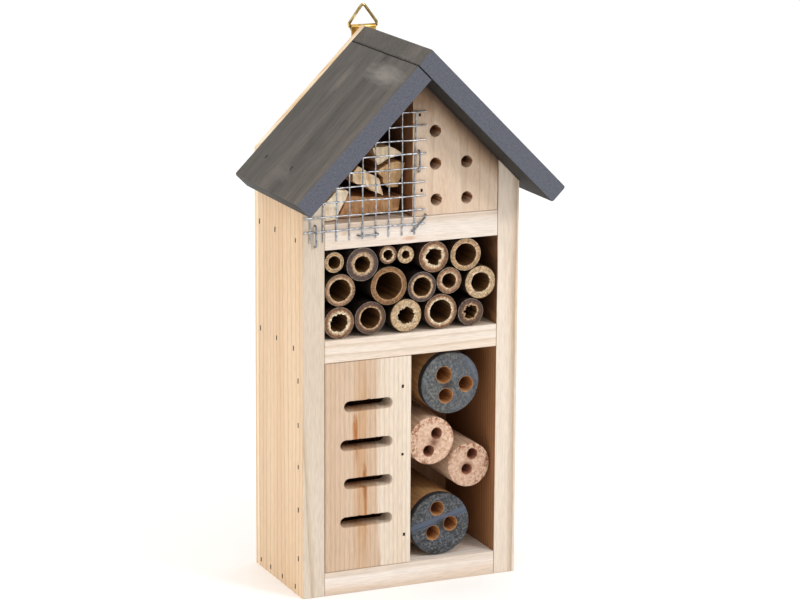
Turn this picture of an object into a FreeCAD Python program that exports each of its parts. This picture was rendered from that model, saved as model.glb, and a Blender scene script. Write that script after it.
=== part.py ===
import FreeCAD, Part
import Sketcher
import math
import os

# A small insect hotel: a pine house with a pitched, stained roof. A shelf board above and one
# below a row of bamboo tubes part it into three floors. Every piece is a solid of its own.
#
# Frame: the origin is the centre of the house's underside, +X is to the right as one faces the
# open front, +Y runs back to the wall behind and +Z is up. All sizes are in millimetres.

doc = FreeCAD.newDocument("insect_hotel")
sheet = doc.addObject("Spreadsheet::Sheet", "dims")

DIMENSIONS = {
    # The house's carcass.
    "house_width": 106.0,
    "house_depth": 58.5,
    "board": 10.6,
    "back_board": 4.0,
    "base_board": 11.0,
    "lower_shelf_height": 109.2,
    "lower_shelf_board": 10.4,
    "upper_shelf_height": 161.0,
    "upper_shelf_board": 11.8,
    "divider_board": 8.4,
    "eave_height": 185.4,
    "fit_gap": 0.1,
    # The roof: two boards at 45 degrees, the right one lapping over the left one's upper end.
    "roof_board": 9.2,
    "roof_overhang": 20.7,
    "left_eave_reach": 57.6,
    "right_eave_reach": 59.6,
    # The slotted panel for butterflies.
    "slot_short_width": 23.8,
    "slot_long_width": 25.6,
    "slot_height": 5.0,
    "slot_spacing": 18.1,
    "slot_first_height": 33.8,
    "slot_right_end": -9.1,
    # The drilled panel for solitary bees.
    "bee_hole_radius": 2.75,
    # The drilled logs.
    "log_inset": 4.5,
    "log_bore_depth": 36.0,
    # The bamboo tubes.
    "tube_inset": 1.0,
    "tube_length": 53.0,
    # The welded mesh.
    "mesh_wire_radius": 0.35,
    "mesh_pitch": 6.35,
    "mesh_left": -49.7,
    "mesh_bottom": 169.95,
    "mesh_tail": 5.0,
    "mesh_roof_gap": 1.4,
    "mesh_weld": 0.1,
    # The staples over the mesh.
    "staple_wire_radius": 0.45,
    "staple_span": 9.6,
    "staple_leg": 9.0,
    "staple_stand_off": 1.8,
    # The brads.
    "brad_radius": 0.6,
    "brad_head_radius": 1.0,
    "brad_head": 0.7,
    "side_brad": 22.0,
    "short_brad": 15.0,
    # The hanger: a rolled brass strap, its screw and a triangular wire ring.
    "hanger_centre": 1.2,
    "strap_thickness": 0.6,
    "strap_width": 12.2,
    "strap_length": 15.0,
    "strap_hole_radius": 1.5,
    "ring_height": 250.2,
    "ring_wire_radius": 0.6,
    "ring_clearance": 0.08,
    "ring_half_width": 6.8,
    "ring_shoulder": 1.9,
    "ring_rise": 10.6,
    "screw_height": 241.0,
    "screw_radius": 1.3,
    "screw_head_radius": 2.4,
    "screw_length": 13.0,
}

for row, (alias, number) in enumerate(DIMENSIONS.items(), start=1):
    sheet.set(f"A{row}", alias)
    sheet.set(f"B{row}", str(number))
    sheet.setAlias(f"B{row}", alias)
doc.recompute()

# Lengths that several pieces share, written in the sheet's names.
HALF_WIDTH = "dims.house_width / 2"
INNER = "(dims.house_width / 2 - dims.board - dims.fit_gap)"
FRONT = "(-dims.house_depth / 2)"
BACK = "(dims.house_depth / 2)"
BACK_BOARD_FRONT = "(dims.house_depth / 2 - dims.back_board)"
INNER_DEPTH = "(dims.house_depth - dims.back_board)"
RIDGE = "(dims.eave_height + dims.house_width / 2)"
ROOF_TOP = "(dims.eave_height + dims.house_width / 2 + dims.roof_board * sqrt(2))"
ROOF_STEP = "(dims.roof_board / sqrt(2))"
LOWER_FLOOR = "dims.base_board"
UPPER_FLOOR = "(dims.upper_shelf_height + dims.upper_shelf_board)"

nodes = {}


# ---------------------------------------------------------------- drawing

def new_body(label):
    body = doc.addObject("PartDesign::Body", label)
    body.Label = label
    return body


def new_sketch(body, name, role, offset):
    """A sketch on one of the body's own origin planes, moved along that plane's normal."""
    sketch = body.newObject("Sketcher::SketchObject", name)
    plane = next(item for item in body.Origin.OriginFeatures if item.Role == role)
    sketch.AttachmentSupport = [(plane, "")]
    sketch.MapMode = "FlatFace"
    sketch.setExpression(".AttachmentOffset.Base.z", offset)
    return sketch


def pin_point(sketch, geometry, point, across, up):
    """Dimension one point of a sketch from the sketch's origin, across and up."""
    for kind, expression in (("DistanceX", across), ("DistanceY", up)):
        number = sketch.addConstraint(Sketcher.Constraint(kind, -1, 1, geometry, point, 1.0))
        sketch.setExpression(f"Constraints[{number}]", expression)


def draw_outline(sketch, corners):
    """A closed outline of straight lines, each corner dimensioned across and up."""
    count = len(corners)
    turns = [math.tau * index / count for index in range(count)]
    points = [FreeCAD.Vector(math.cos(turn), math.sin(turn), 0) for turn in turns]
    first = sketch.GeometryCount
    for index in range(count):
        line = Part.LineSegment(points[index], points[(index + 1) % count])
        sketch.addGeometry(line, False)
    for index, (across, up) in enumerate(corners):
        before = first + (index - 1) % count
        sketch.addConstraint(Sketcher.Constraint("Coincident", before, 2, first + index, 1))
        pin_point(sketch, first + index, 1, across, up)


def draw_circle(sketch, across, up, radius):
    circle = sketch.addGeometry(Part.Circle(FreeCAD.Vector(), FreeCAD.Vector(0, 0, 1), 1.0), False)
    pin_point(sketch, circle, 3, across, up)
    number = sketch.addConstraint(Sketcher.Constraint("Radius", circle, 1.0))
    sketch.setExpression(f"Constraints[{number}]", radius)


def pad(body, sketch, length):
    """Thicken a front-plane sketch towards the back of the house."""
    feature = body.newObject("PartDesign::Pad", f"{sketch.Name}_pad")
    feature.Profile = sketch
    feature.Reversed = True
    feature.setExpression("Length", length)
    sketch.Visibility = False
    return feature


def pocket(body, sketch, length):
    """Cut a front-plane sketch towards the back of the house."""
    doc.recompute()
    before = body.Shape.Volume
    feature = body.newObject("PartDesign::Pocket", f"{sketch.Name}_pocket")
    feature.Profile = sketch
    feature.setExpression("Length", length)
    doc.recompute()
    if body.Shape.Volume >= before:
        raise RuntimeError(f"{sketch.Name} cuts nothing")


def front_board(label, corners, front, length):
    """A board or block with its outline on a plane facing the front, and its grain behind it."""
    body = new_body(label)
    outline = new_sketch(body, f"{label}_outline", "XZ_Plane", f"-{front}")
    draw_outline(outline, corners)
    pad(body, outline, length)
    return body


def cylinder(name, radius, length, place, direction):
    """A round bar that starts at a place and runs in a direction."""
    bar = doc.addObject("Part::Cylinder", name)
    bar.setExpression("Radius", radius)
    bar.setExpression("Height", length)
    bar.Placement.Rotation = FreeCAD.Rotation(FreeCAD.Vector(0, 0, 1), FreeCAD.Vector(*direction))
    for axis, expression in zip("xyz", place):
        bar.setExpression(f"Placement.Base.{axis}", expression)
    return bar


def joined(label, pieces):
    """One node from overlapping primitives; pieces that stand apart stay separate solids."""
    node = doc.addObject("Part::MultiFuse", label)
    node.Label = label
    node.Shapes = pieces
    nodes[label] = node
    return node


# ---------------------------------------------------------------- fasteners

def brad_group(label, length, direction, entries):
    """Brads driven one way: each has a round shank and a flat head sunk flush with the wood."""
    pieces = []
    for number, place in enumerate(entries, start=1):
        name = f"{label}_{number}"
        pieces.append(cylinder(f"{name}_shank", "dims.brad_radius", length, place, direction))
        pieces.append(cylinder(f"{name}_head", "dims.brad_head_radius", "dims.brad_head", place, direction))
    return pieces


# Depths behind the front edge and heights of the brads through each side panel.
BASE_BRADS = (3.4, (9.4, 25.3, 40.0, 52.0))
LOWER_SHELF_BRADS = (115.0, (10.9, 31.4, 51.5))
UPPER_SHELF_BRADS = (165.0, (8.3, 33.0, 52.0))
PANEL_BRAD_DEPTH = 5.5
SLOTTED_PANEL_BRADS = (17.7, 40.8, 61.0, 80.5, 101.1)
DRILLED_PANEL_BRADS = (176.5, 183.0)

shelf_brads = []
for height, depths in (BASE_BRADS, LOWER_SHELF_BRADS, UPPER_SHELF_BRADS):
    for depth in depths:
        shelf_brads.append((depth, height))

for side, sign, panel_brads in (("left", -1, SLOTTED_PANEL_BRADS), ("right", 1, DRILLED_PANEL_BRADS)):
    entries = []
    for depth, height in shelf_brads + [(PANEL_BRAD_DEPTH, height) for height in panel_brads]:
        entries.append((f"{sign} * {HALF_WIDTH}", f"{FRONT} + {depth}", f"{height}"))
    label = f"side_brads_{side}"
    joined(label, brad_group(label, "dims.side_brad", (-sign, 0, 0), entries))

# Brads through the front panels' inner edges into the dividers: place across and height.
FRONT_BRADS = ((-4.2, 95.0), (-4.2, 63.0), (-3.2, 24.8), (3.3, 219.0), (4.4, 184.7))
entries = []
for across, height in FRONT_BRADS:
    entries.append((f"{across}", FRONT, f"{height}"))
joined("front_brads", brad_group("front_brads", "dims.side_brad", (0, 1, 0), entries))

# Brads down through each roof board into the side panel's bevelled top, and three more
# through the right board's upper end into the end of the left board.
EAVE_BRAD_DEPTHS = (10.0, 40.0)
RIDGE_BRAD_DEPTHS = (-12.0, 16.0, 44.0)
roof_brads = []
for side, sign in (("left", -1), ("right", 1)):
    entries = []
    for depth in EAVE_BRAD_DEPTHS:
        across = f"{sign} * ({HALF_WIDTH} - dims.board / 2 + {ROOF_STEP})"
        height = f"dims.eave_height + dims.board / 2 + {ROOF_STEP}"
        entries.append((across, f"{FRONT} + {depth}", height))
    roof_brads += brad_group(f"eave_brads_{side}", "dims.short_brad", (-sign, 0, -1), entries)
entries = []
for depth in RIDGE_BRAD_DEPTHS:
    entries.append((f"{ROOF_STEP} / 2", f"{FRONT} + {depth}", f"{ROOF_TOP} - {ROOF_STEP} / 2"))
roof_brads += brad_group("ridge_brads", "dims.side_brad", (-1, 0, -1), entries)
joined("roof_brads", roof_brads)

# ---------------------------------------------------------------- drilled logs: places and sizes

# Each log: place across, height, radius, and its nesting bores as offsets across and up with a radius.
LOGS = {
    "log_top": (21.5, 92.8, 14.6, ((-3.2, 4.1, 3.7), (7.9, -1.2, 3.4), (-2.2, -5.8, 3.3))),
    "log_upper_middle": (12.3, 66.3, 11.4, ((2.5, 3.3, 2.5), (-1.4, -4.6, 2.5))),
    "log_lower_middle": (31.2, 52.8, 10.6, ((1.7, 5.1, 2.4), (-1.0, -1.9, 2.4))),
    "log_bottom": (16.9, 26.0, 14.8, ((-1.4, 7.6, 3.2), (5.2, -0.3, 3.2), (-3.6, -3.9, 3.2))),
}

# Brads through the back panel: into the side panels, the base and shelves, the roof boards' ends
# and the logs, which nothing else holds.
BACK_EDGE_HEIGHTS = (22.0, 72.0, 140.0, 180.0)
BACK_SHELF_PLACES = (-20.0, 20.0)
BACK_ROOF_PLACES = (14.0, 36.0)
entries = []
for sign in (-1, 1):
    for height in BACK_EDGE_HEIGHTS:
        entries.append((f"{sign} * ({HALF_WIDTH} - dims.board / 2)", BACK, f"{height}"))
    for across in BACK_ROOF_PLACES:
        entries.append((f"{sign * across}", BACK, f"{RIDGE} + {ROOF_STEP} - {across}"))
for across in BACK_SHELF_PLACES:
    entries.append((f"{across}", BACK, "dims.base_board / 2"))
    entries.append((f"{across}", BACK, "dims.lower_shelf_height + dims.lower_shelf_board / 2"))
    entries.append((f"{across}", BACK, "dims.upper_shelf_height + dims.upper_shelf_board / 2"))
for across, height, radius, bores in LOGS.values():
    entries.append((f"{across}", BACK, f"{height}"))
joined("back_brads", brad_group("back_brads", "dims.short_brad", (0, -1, 0), entries))

# ---------------------------------------------------------------- welded mesh and its staples

MESH_CELLS = 8
MESH_LAYER = f"({FRONT} - dims.mesh_wire_radius)"
MESH_OUTER_LAYER = f"({FRONT} - 3 * dims.mesh_wire_radius + dims.mesh_weld)"
MESH_RIGHT = f"(dims.mesh_left + {MESH_CELLS} * dims.mesh_pitch)"
MESH_TOP = f"(dims.mesh_bottom + {MESH_CELLS} * dims.mesh_pitch)"

wires = []
for number in range(MESH_CELLS + 1):
    across = f"(dims.mesh_left + {number} * dims.mesh_pitch)"
    height = f"(dims.mesh_bottom + {number} * dims.mesh_pitch)"
    foot = "(dims.mesh_bottom - dims.mesh_tail)"
    top = f"min({MESH_TOP} + dims.mesh_wire_radius; {RIDGE} + {across} - dims.mesh_roof_gap)"
    left = f"max(-{HALF_WIDTH}; {height} - {RIDGE} + dims.mesh_roof_gap)"
    right = f"({MESH_RIGHT} + dims.mesh_tail)"
    upright = cylinder(f"mesh_upright_{number}", "dims.mesh_wire_radius", f"{top} - {foot}",
                       (across, MESH_LAYER, foot), (0, 0, 1))
    crossing = cylinder(f"mesh_crossing_{number}", "dims.mesh_wire_radius", f"{right} - {left}",
                        (left, MESH_OUTER_LAYER, height), (1, 0, 0))
    wires += [upright, crossing]
joined("wire_mesh", wires)

# Each staple: its middle across and up, and the angle of its crown from level, in degrees.
STAPLES = ((-47.15, 168.0, 90.0), (-21.8, 166.8, 0.0), (2.95, 170.15, 46.6), (2.7, 198.3, 90.0))
CROWN = f"({FRONT} - dims.staple_stand_off)"
staples = []
for number, (across, height, angle) in enumerate(STAPLES, start=1):
    cosine = math.cos(math.radians(angle))
    sine = math.sin(math.radians(angle))
    ends = []
    for sign in (-1, 1):
        ends.append((f"{across} + {sign * cosine} * dims.staple_span / 2", CROWN,
                     f"{height} + {sign * sine} * dims.staple_span / 2"))
    staples.append(cylinder(f"staple_{number}_crown", "dims.staple_wire_radius", "dims.staple_span",
                            ends[0], (cosine, 0, sine)))
    for side, end in zip("ab", ends):
        staples.append(cylinder(f"staple_{number}_leg_{side}", "dims.staple_wire_radius",
                                "dims.staple_leg", end, (0, 1, 0)))
        corner = doc.addObject("Part::Sphere", f"staple_{number}_corner_{side}")
        corner.setExpression("Radius", "dims.staple_wire_radius")
        for axis, expression in zip("xyz", end):
            corner.setExpression(f"Placement.Base.{axis}", expression)
        staples.append(corner)
joined("mesh_staples", staples)

# ---------------------------------------------------------------- hanger

# The ring's base wire turns in the strap's rolled end, so its axis stands one roll off the back.
ROLL_RADIUS = "(dims.ring_wire_radius + dims.ring_clearance + dims.strap_thickness)"
RING_AXIS = f"({BACK} + {ROLL_RADIUS})"

screw_shank = cylinder("hanger_screw_shank", "dims.screw_radius", "dims.screw_length",
                       ("dims.hanger_centre", f"{BACK} + dims.strap_thickness", "dims.screw_height"),
                       (0, -1, 0))
screw_head = cylinder("hanger_screw_head", "dims.screw_head_radius", "dims.strap_thickness * 2",
                      ("dims.hanger_centre", f"{BACK} + dims.strap_thickness", "dims.screw_height"),
                      (0, 1, 0))
joined("hanger_screw", [screw_shank, screw_head])

strap_plate = doc.addObject("Part::Box", "strap_plate")
strap_plate.setExpression("Length", "dims.strap_width")
strap_plate.setExpression("Width", "dims.strap_thickness")
strap_plate.setExpression("Height", "dims.strap_length")
strap_plate.setExpression("Placement.Base.x", "dims.hanger_centre - dims.strap_width / 2")
strap_plate.setExpression("Placement.Base.y", BACK)
strap_plate.setExpression("Placement.Base.z", "dims.ring_height - dims.strap_length")
roll_start = ("dims.hanger_centre - dims.strap_width / 2", RING_AXIS, "dims.ring_height")
strap_roll = cylinder("strap_roll", ROLL_RADIUS, "dims.strap_width", roll_start, (1, 0, 0))
roll_bore = cylinder("strap_roll_bore", "dims.ring_wire_radius + dims.ring_clearance",
                     "dims.strap_width", roll_start, (1, 0, 0))
strap_hole = cylinder("strap_hole", "dims.strap_hole_radius", "dims.strap_thickness",
                      ("dims.hanger_centre", BACK, "dims.screw_height"), (0, 1, 0))
strap_solid = doc.addObject("Part::Fuse", "strap_solid")
strap_solid.Base = strap_plate
strap_solid.Tool = strap_roll
strap_openings = doc.addObject("Part::Fuse", "strap_openings")
strap_openings.Base = roll_bore
strap_openings.Tool = strap_hole
hanger_strap = doc.addObject("Part::Cut", "hanger_strap")
hanger_strap.Label = "hanger_strap"
hanger_strap.Base = strap_solid
hanger_strap.Tool = strap_openings
nodes["hanger_strap"] = hanger_strap

# The ring is one length of wire bent to a triangle; its ends meet inside the rolled strap.
ring = new_body("hanger_ring")
ring_path = new_sketch(ring, "ring_path", "XZ_Plane", f"-{RING_AXIS}")
RING_END_GAP = 0.2
ring_corners = (
    (f"dims.hanger_centre + {RING_END_GAP} / 2", "dims.ring_height"),
    ("dims.hanger_centre + dims.ring_half_width", "dims.ring_height"),
    ("dims.hanger_centre + dims.ring_half_width", "dims.ring_height + dims.ring_shoulder"),
    ("dims.hanger_centre", "dims.ring_height + dims.ring_rise"),
    ("dims.hanger_centre - dims.ring_half_width", "dims.ring_height + dims.ring_shoulder"),
    ("dims.hanger_centre - dims.ring_half_width", "dims.ring_height"),
    (f"dims.hanger_centre - {RING_END_GAP} / 2", "dims.ring_height"),
)
for index in range(len(ring_corners) - 1):
    ring_path.addGeometry(Part.LineSegment(FreeCAD.Vector(index, index % 2, 0),
                                           FreeCAD.Vector(index + 1, (index + 1) % 2, 0)), False)
    pin_point(ring_path, index, 1, *ring_corners[index])
    if index > 0:
        ring_path.addConstraint(Sketcher.Constraint("Coincident", index - 1, 2, index, 1))
pin_point(ring_path, len(ring_corners) - 2, 2, *ring_corners[-1])
ring_section = new_sketch(ring, "ring_section", "YZ_Plane", ring_corners[0][0])
draw_circle(ring_section, RING_AXIS, "dims.ring_height", "dims.ring_wire_radius")
ring_wire = ring.newObject("PartDesign::AdditivePipe", "ring_wire")
ring_wire.Profile = ring_section
ring_wire.Spine = (ring_path, [f"Edge{index + 1}" for index in range(len(ring_corners) - 1)])
ring_wire.Transition = "Round corner"
nodes["hanger_ring"] = ring

# ---------------------------------------------------------------- carcass boards


def level_board(label, height, thickness):
    """A base or shelf board between the side panels, from the front edge to the back panel."""
    corners = (
        (f"-{INNER}", height),
        (INNER, height),
        (INNER, f"{height} + {thickness}"),
        (f"-{INNER}", f"{height} + {thickness}"),
    )
    return front_board(label, corners, FRONT, INNER_DEPTH)


def side_panel(label, sign):
    """A side panel with its top edge bevelled to the roof's slope."""
    outer = f"{sign} * {HALF_WIDTH}"
    inner = f"{sign} * ({HALF_WIDTH} - dims.board)"
    corners = (
        (outer, "0"),
        (inner, "0"),
        (inner, "dims.eave_height + dims.board"),
        (outer, "dims.eave_height"),
    )
    return front_board(label, corners, FRONT, INNER_DEPTH)


def roof_board(label, sign, eave_reach, upper_end):
    """A roof board from its eave up the slope; upper_end is its top end's lower corner."""
    across, up = upper_end
    corners = (
        (f"{sign} * {eave_reach}", f"{RIDGE} - {eave_reach}"),
        (across, up),
        (f"{across} + {sign} * {ROOF_STEP}", f"{up} + {ROOF_STEP}"),
        (f"{sign} * ({eave_reach} + {ROOF_STEP})", f"{RIDGE} - {eave_reach} + {ROOF_STEP}"),
    )
    return front_board(label, corners, f"({FRONT} - dims.roof_overhang)",
                       f"({INNER_DEPTH} + dims.roof_overhang)")


back_corners = (
    (f"-{HALF_WIDTH}", "0"),
    (HALF_WIDTH, "0"),
    (HALF_WIDTH, f"{ROOF_TOP} - {HALF_WIDTH}"),
    ("0", ROOF_TOP),
    (f"-{HALF_WIDTH}", f"{ROOF_TOP} - {HALF_WIDTH}"),
)
lower_divider_corners = (
    ("-dims.divider_board", LOWER_FLOOR),
    ("0", LOWER_FLOOR),
    ("0", "dims.lower_shelf_height"),
    ("-dims.divider_board", "dims.lower_shelf_height"),
)
upper_divider_corners = (
    ("0", UPPER_FLOOR),
    ("dims.divider_board", UPPER_FLOOR),
    ("dims.divider_board", f"{RIDGE} - dims.divider_board"),
    ("0", RIDGE),
)
slotted_corners = (
    (f"-{INNER}", LOWER_FLOOR),
    ("0", LOWER_FLOOR),
    ("0", "dims.lower_shelf_height"),
    (f"-{INNER}", "dims.lower_shelf_height"),
)
drilled_corners = (
    ("0", UPPER_FLOOR),
    (INNER, UPPER_FLOOR),
    (INNER, f"{RIDGE} - {INNER}"),
    ("0", RIDGE),
)
DIVIDER_FRONT = f"({FRONT} + dims.board)"
DIVIDER_DEPTH = f"({INNER_DEPTH} - dims.board)"

slotted_panel = front_board("slotted_panel_blank", slotted_corners, FRONT, "dims.board")
# From the lowest slot up: they end in line on the right, and long and short ones take turns.
SLOT_WIDTHS = ("dims.slot_long_width", "dims.slot_short_width", "dims.slot_long_width",
               "dims.slot_short_width")
slot_sketch = new_sketch(slotted_panel, "slots", "XZ_Plane", f"-{FRONT}")
for number, width in enumerate(SLOT_WIDTHS):
    height = f"(dims.slot_first_height + {number} * dims.slot_spacing)"
    right_centre = "dims.slot_right_end - dims.slot_height / 2"
    left_centre = f"dims.slot_right_end - {width} + dims.slot_height / 2"
    # Two round ends joined by two level lines, drawn counter-clockwise from the lower line.
    start = FreeCAD.Vector(-9, 20 * number, 0)
    end = FreeCAD.Vector(9, 20 * number, 0)
    rise = FreeCAD.Vector(0, 2, 0)
    up = FreeCAD.Vector(0, 0, 1)
    right_end = Part.ArcOfCircle(Part.Circle(end, up, 2), -math.pi / 2, math.pi / 2)
    left_end = Part.ArcOfCircle(Part.Circle(start, up, 2), math.pi / 2, 3 * math.pi / 2)
    lower = slot_sketch.addGeometry(Part.LineSegment(start - rise, end - rise), False)
    right = slot_sketch.addGeometry(right_end, False)
    upper = slot_sketch.addGeometry(Part.LineSegment(end + rise, start + rise), False)
    left = slot_sketch.addGeometry(left_end, False)
    slot_sketch.addConstraint(Sketcher.Constraint("Tangent", lower, 2, right, 1))
    slot_sketch.addConstraint(Sketcher.Constraint("Tangent", right, 2, upper, 1))
    slot_sketch.addConstraint(Sketcher.Constraint("Tangent", upper, 2, left, 1))
    slot_sketch.addConstraint(Sketcher.Constraint("Tangent", left, 2, lower, 1))
    radius = slot_sketch.addConstraint(Sketcher.Constraint("Radius", right, 2.0))
    slot_sketch.setExpression(f"Constraints[{radius}]", "dims.slot_height / 2")
    pin_point(slot_sketch, right, 3, right_centre, height)
    pin_point(slot_sketch, left, 3, left_centre, height)
pocket(slotted_panel, slot_sketch, "dims.board + 1")

# The bee holes: places across and height.
BEE_HOLES = ((11.0, 211.3), (11.2, 196.4), (26.6, 196.3), (11.7, 179.9), (26.8, 179.8))
drilled_panel = front_board("drilled_panel_blank", drilled_corners, FRONT, "dims.board")
hole_sketch = new_sketch(drilled_panel, "bee_holes", "XZ_Plane", f"-{FRONT}")
for across, height in BEE_HOLES:
    draw_circle(hole_sketch, f"{across}", f"{height}", "dims.bee_hole_radius")
pocket(drilled_panel, hole_sketch, "dims.board + 1")

blanks = {
    "side_panel_left": side_panel("side_panel_left_blank", -1),
    "side_panel_right": side_panel("side_panel_right_blank", 1),
    "base_board": level_board("base_board_blank", "0", "dims.base_board"),
    "lower_shelf": level_board("lower_shelf_blank", "dims.lower_shelf_height", "dims.lower_shelf_board"),
    "upper_shelf": level_board("upper_shelf_blank", "dims.upper_shelf_height", "dims.upper_shelf_board"),
    "back_panel": front_board("back_panel_blank", back_corners, BACK_BOARD_FRONT, "dims.back_board"),
    "lower_divider": front_board("lower_divider_blank", lower_divider_corners, DIVIDER_FRONT, DIVIDER_DEPTH),
    "upper_divider": front_board("upper_divider_blank", upper_divider_corners, DIVIDER_FRONT, DIVIDER_DEPTH),
    "slotted_panel": slotted_panel,
    "drilled_panel": drilled_panel,
    "roof_board_left": roof_board("roof_board_left_blank", -1, "dims.left_eave_reach", ("0", RIDGE)),
    "roof_board_right": roof_board("roof_board_right_blank", 1, "dims.right_eave_reach",
                                   (f"-{ROOF_STEP}", f"{RIDGE} + {ROOF_STEP}")),
}

# ---------------------------------------------------------------- drilled logs

LOG_FRONT = f"({FRONT} + dims.log_inset)"
for label, (across, height, radius, bores) in LOGS.items():
    log = new_body(f"{label}_blank")
    end_face = new_sketch(log, f"{label}_end", "XZ_Plane", f"-{LOG_FRONT}")
    draw_circle(end_face, f"{across}", f"{height}", f"{radius}")
    pad(log, end_face, f"{INNER_DEPTH} - dims.log_inset")
    bore_sketch = new_sketch(log, f"{label}_bores", "XZ_Plane", f"-{LOG_FRONT}")
    for bore_across, bore_up, bore_radius in bores:
        draw_circle(bore_sketch, f"{across + bore_across}", f"{height + bore_up}", f"{bore_radius}")
    pocket(log, bore_sketch, "dims.log_bore_depth")
    blanks[label] = log

# ---------------------------------------------------------------- seats for the fasteners

TAKES = {
    "side_panel_left": ("side_brads_left", "roof_brads", "back_brads", "mesh_staples"),
    "side_panel_right": ("side_brads_right", "roof_brads", "back_brads"),
    "base_board": ("side_brads_left", "side_brads_right", "back_brads"),
    "lower_shelf": ("side_brads_left", "side_brads_right", "back_brads"),
    "upper_shelf": ("side_brads_left", "side_brads_right", "back_brads", "mesh_staples"),
    "back_panel": ("back_brads", "hanger_screw"),
    "lower_divider": ("front_brads",),
    "upper_divider": ("front_brads",),
    "slotted_panel": ("front_brads", "side_brads_left"),
    "drilled_panel": ("front_brads", "side_brads_right", "mesh_staples"),
    "roof_board_left": ("roof_brads", "back_brads"),
    "roof_board_right": ("roof_brads", "back_brads", "hanger_screw"),
    "log_top": ("back_brads",),
    "log_upper_middle": ("back_brads",),
    "log_lower_middle": ("back_brads",),
    "log_bottom": ("back_brads",),
}
for label, fasteners in TAKES.items():
    driven = doc.addObject("Part::Compound", f"{label}_fasteners")
    driven.Links = [nodes[name] for name in fasteners]
    board = doc.addObject("Part::Cut", label)
    board.Label = label
    board.Base = blanks[label]
    board.Tool = driven
    nodes[label] = board

# ---------------------------------------------------------------- bamboo tubes

# Each tube: place across, height, outer radius and bore radius, from left to right, top row first.
TUBES = (
    (-37.3, 155.0, 4.7, 2.9),
    (-23.7, 153.0, 7.8, 3.7),
    (-11.2, 156.3, 4.2, 2.3),
    (-2.6, 155.6, 4.1, 1.9),
    (11.2, 153.5, 7.3, 3.8),
    (27.0, 153.2, 7.6, 5.2),
    (-34.5, 142.0, 7.4, 5.1),
    (-10.8, 142.0, 8.9, 6.3),
    (5.5, 140.1, 7.0, 4.4),
    (18.9, 141.8, 6.2, 3.4),
    (34.5, 139.7, 7.7, 4.5),
    (-34.9, 127.1, 7.3, 4.1),
    (-19.8, 128.0, 7.6, 4.8),
    (-2.3, 127.5, 7.7, 3.8),
    (14.8, 127.9, 8.1, 5.3),
    (29.8, 126.2, 6.4, 3.1),
)
for number, (across, height, radius, bore) in enumerate(TUBES, start=1):
    label = f"bamboo_tube_{number:02d}"
    tube = new_body(label)
    ring_face = new_sketch(tube, f"{label}_end", "XZ_Plane", f"-({FRONT} + dims.tube_inset)")
    draw_circle(ring_face, f"{across}", f"{height}", f"{radius}")
    draw_circle(ring_face, f"{across}", f"{height}", f"{bore}")
    pad(tube, ring_face, "dims.tube_length")
    nodes[label] = tube

# ---------------------------------------------------------------- split wood behind the mesh

# Each split: distance behind the front edge, length, and its end's outline as places across and up.
SPLITS = {
    "split_wood_corner": (4.0, 47.0, ((-42.2, 173.0), (-33.9, 173.0), (-33.3, 175.2), (-30.3, 180.4),
                                      (-27.4, 185.6), (-28.4, 186.7), (-33.4, 187.4), (-39.5, 181.6),
                                      (-42.2, 179.1))),
    "split_wood_floor": (5.0, 46.0, ((-33.0, 173.4), (-28.5, 173.0), (-14.6, 173.8), (-3.9, 175.2),
                                     (-2.3, 179.9), (-2.0, 181.5), (-9.8, 181.2), (-18.8, 182.2),
                                     (-27.3, 182.7))),
    "split_wood_point": (2.5, 44.0, ((-27.9, 190.6), (-26.1, 189.2), (-21.6, 188.2), (-17.8, 184.9),
                                     (-11.0, 182.0), (-13.0, 190.3), (-15.4, 192.3), (-18.5, 193.6),
                                     (-22.0, 196.0), (-24.7, 197.3), (-27.9, 194.4))),
    "split_wood_knot": (4.0, 42.0, ((-15.6, 194.2), (-14.2, 192.3), (-12.6, 190.6), (-11.6, 187.6),
                                    (-8.8, 185.2), (-3.0, 184.6), (-2.2, 188.6), (-1.6, 190.0),
                                    (-0.6, 192.2), (-0.6, 196.8), (-4.6, 198.3), (-8.6, 197.6),
                                    (-11.0, 196.5))),
    "split_wood_top": (6.0, 40.0, ((-16.2, 204.0), (-15.2, 199.2), (-13.9, 195.8), (-8.0, 198.2),
                                   (-5.2, 199.3), (-0.8, 200.2), (-6.3, 204.1), (-8.1, 204.7))),
    "split_wood_eave": (14.0, 38.0, ((-39.0, 188.4), (-29.6, 190.2), (-29.2, 196.0), (-31.5, 203.0),
                                     (-36.5, 199.5))),
    "split_wood_inner": (18.0, 34.0, ((-23.0, 200.0), (-18.6, 196.6), (-18.4, 206.0), (-22.5, 207.5))),
}
for label, (inset, length, outline) in SPLITS.items():
    corners = [(f"{across}", f"{up}") for across, up in outline]
    nodes[label] = front_board(label, corners, f"({FRONT} + {inset})", f"{length}")

# ---------------------------------------------------------------- checks and files

doc.recompute()
for item in doc.Objects:
    if "Invalid" in item.State or "Error" in item.State:
        raise RuntimeError(f"{item.Name} did not compute: {item.State}")
for label, item in nodes.items():
    if item.Shape.isNull() or not item.Shape.isValid() or not item.Shape.Solids:
        raise RuntimeError(f"{label} is not a valid solid")

os.makedirs("parts", exist_ok=True)
for label, item in nodes.items():
    item.Shape.exportStep(f"parts/{label}.step")
    print(label, len(item.Shape.Solids), "solid(s),", round(item.Shape.Volume, 1), "mm3")
print(len(nodes), "nodes")
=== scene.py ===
# %% [markdown]
# # An insect hotel, piece by piece
#
# The object is a small pine house for insects. Its boards, tubes, logs, mesh and hanger are
# already designed as plain solids, which this scene loads as a fixed frame. Each cell below gives
# one kind of piece the shape and the finish that the real one has. Read it from top to bottom: a
# helper or a value is defined where it is first needed.

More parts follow.
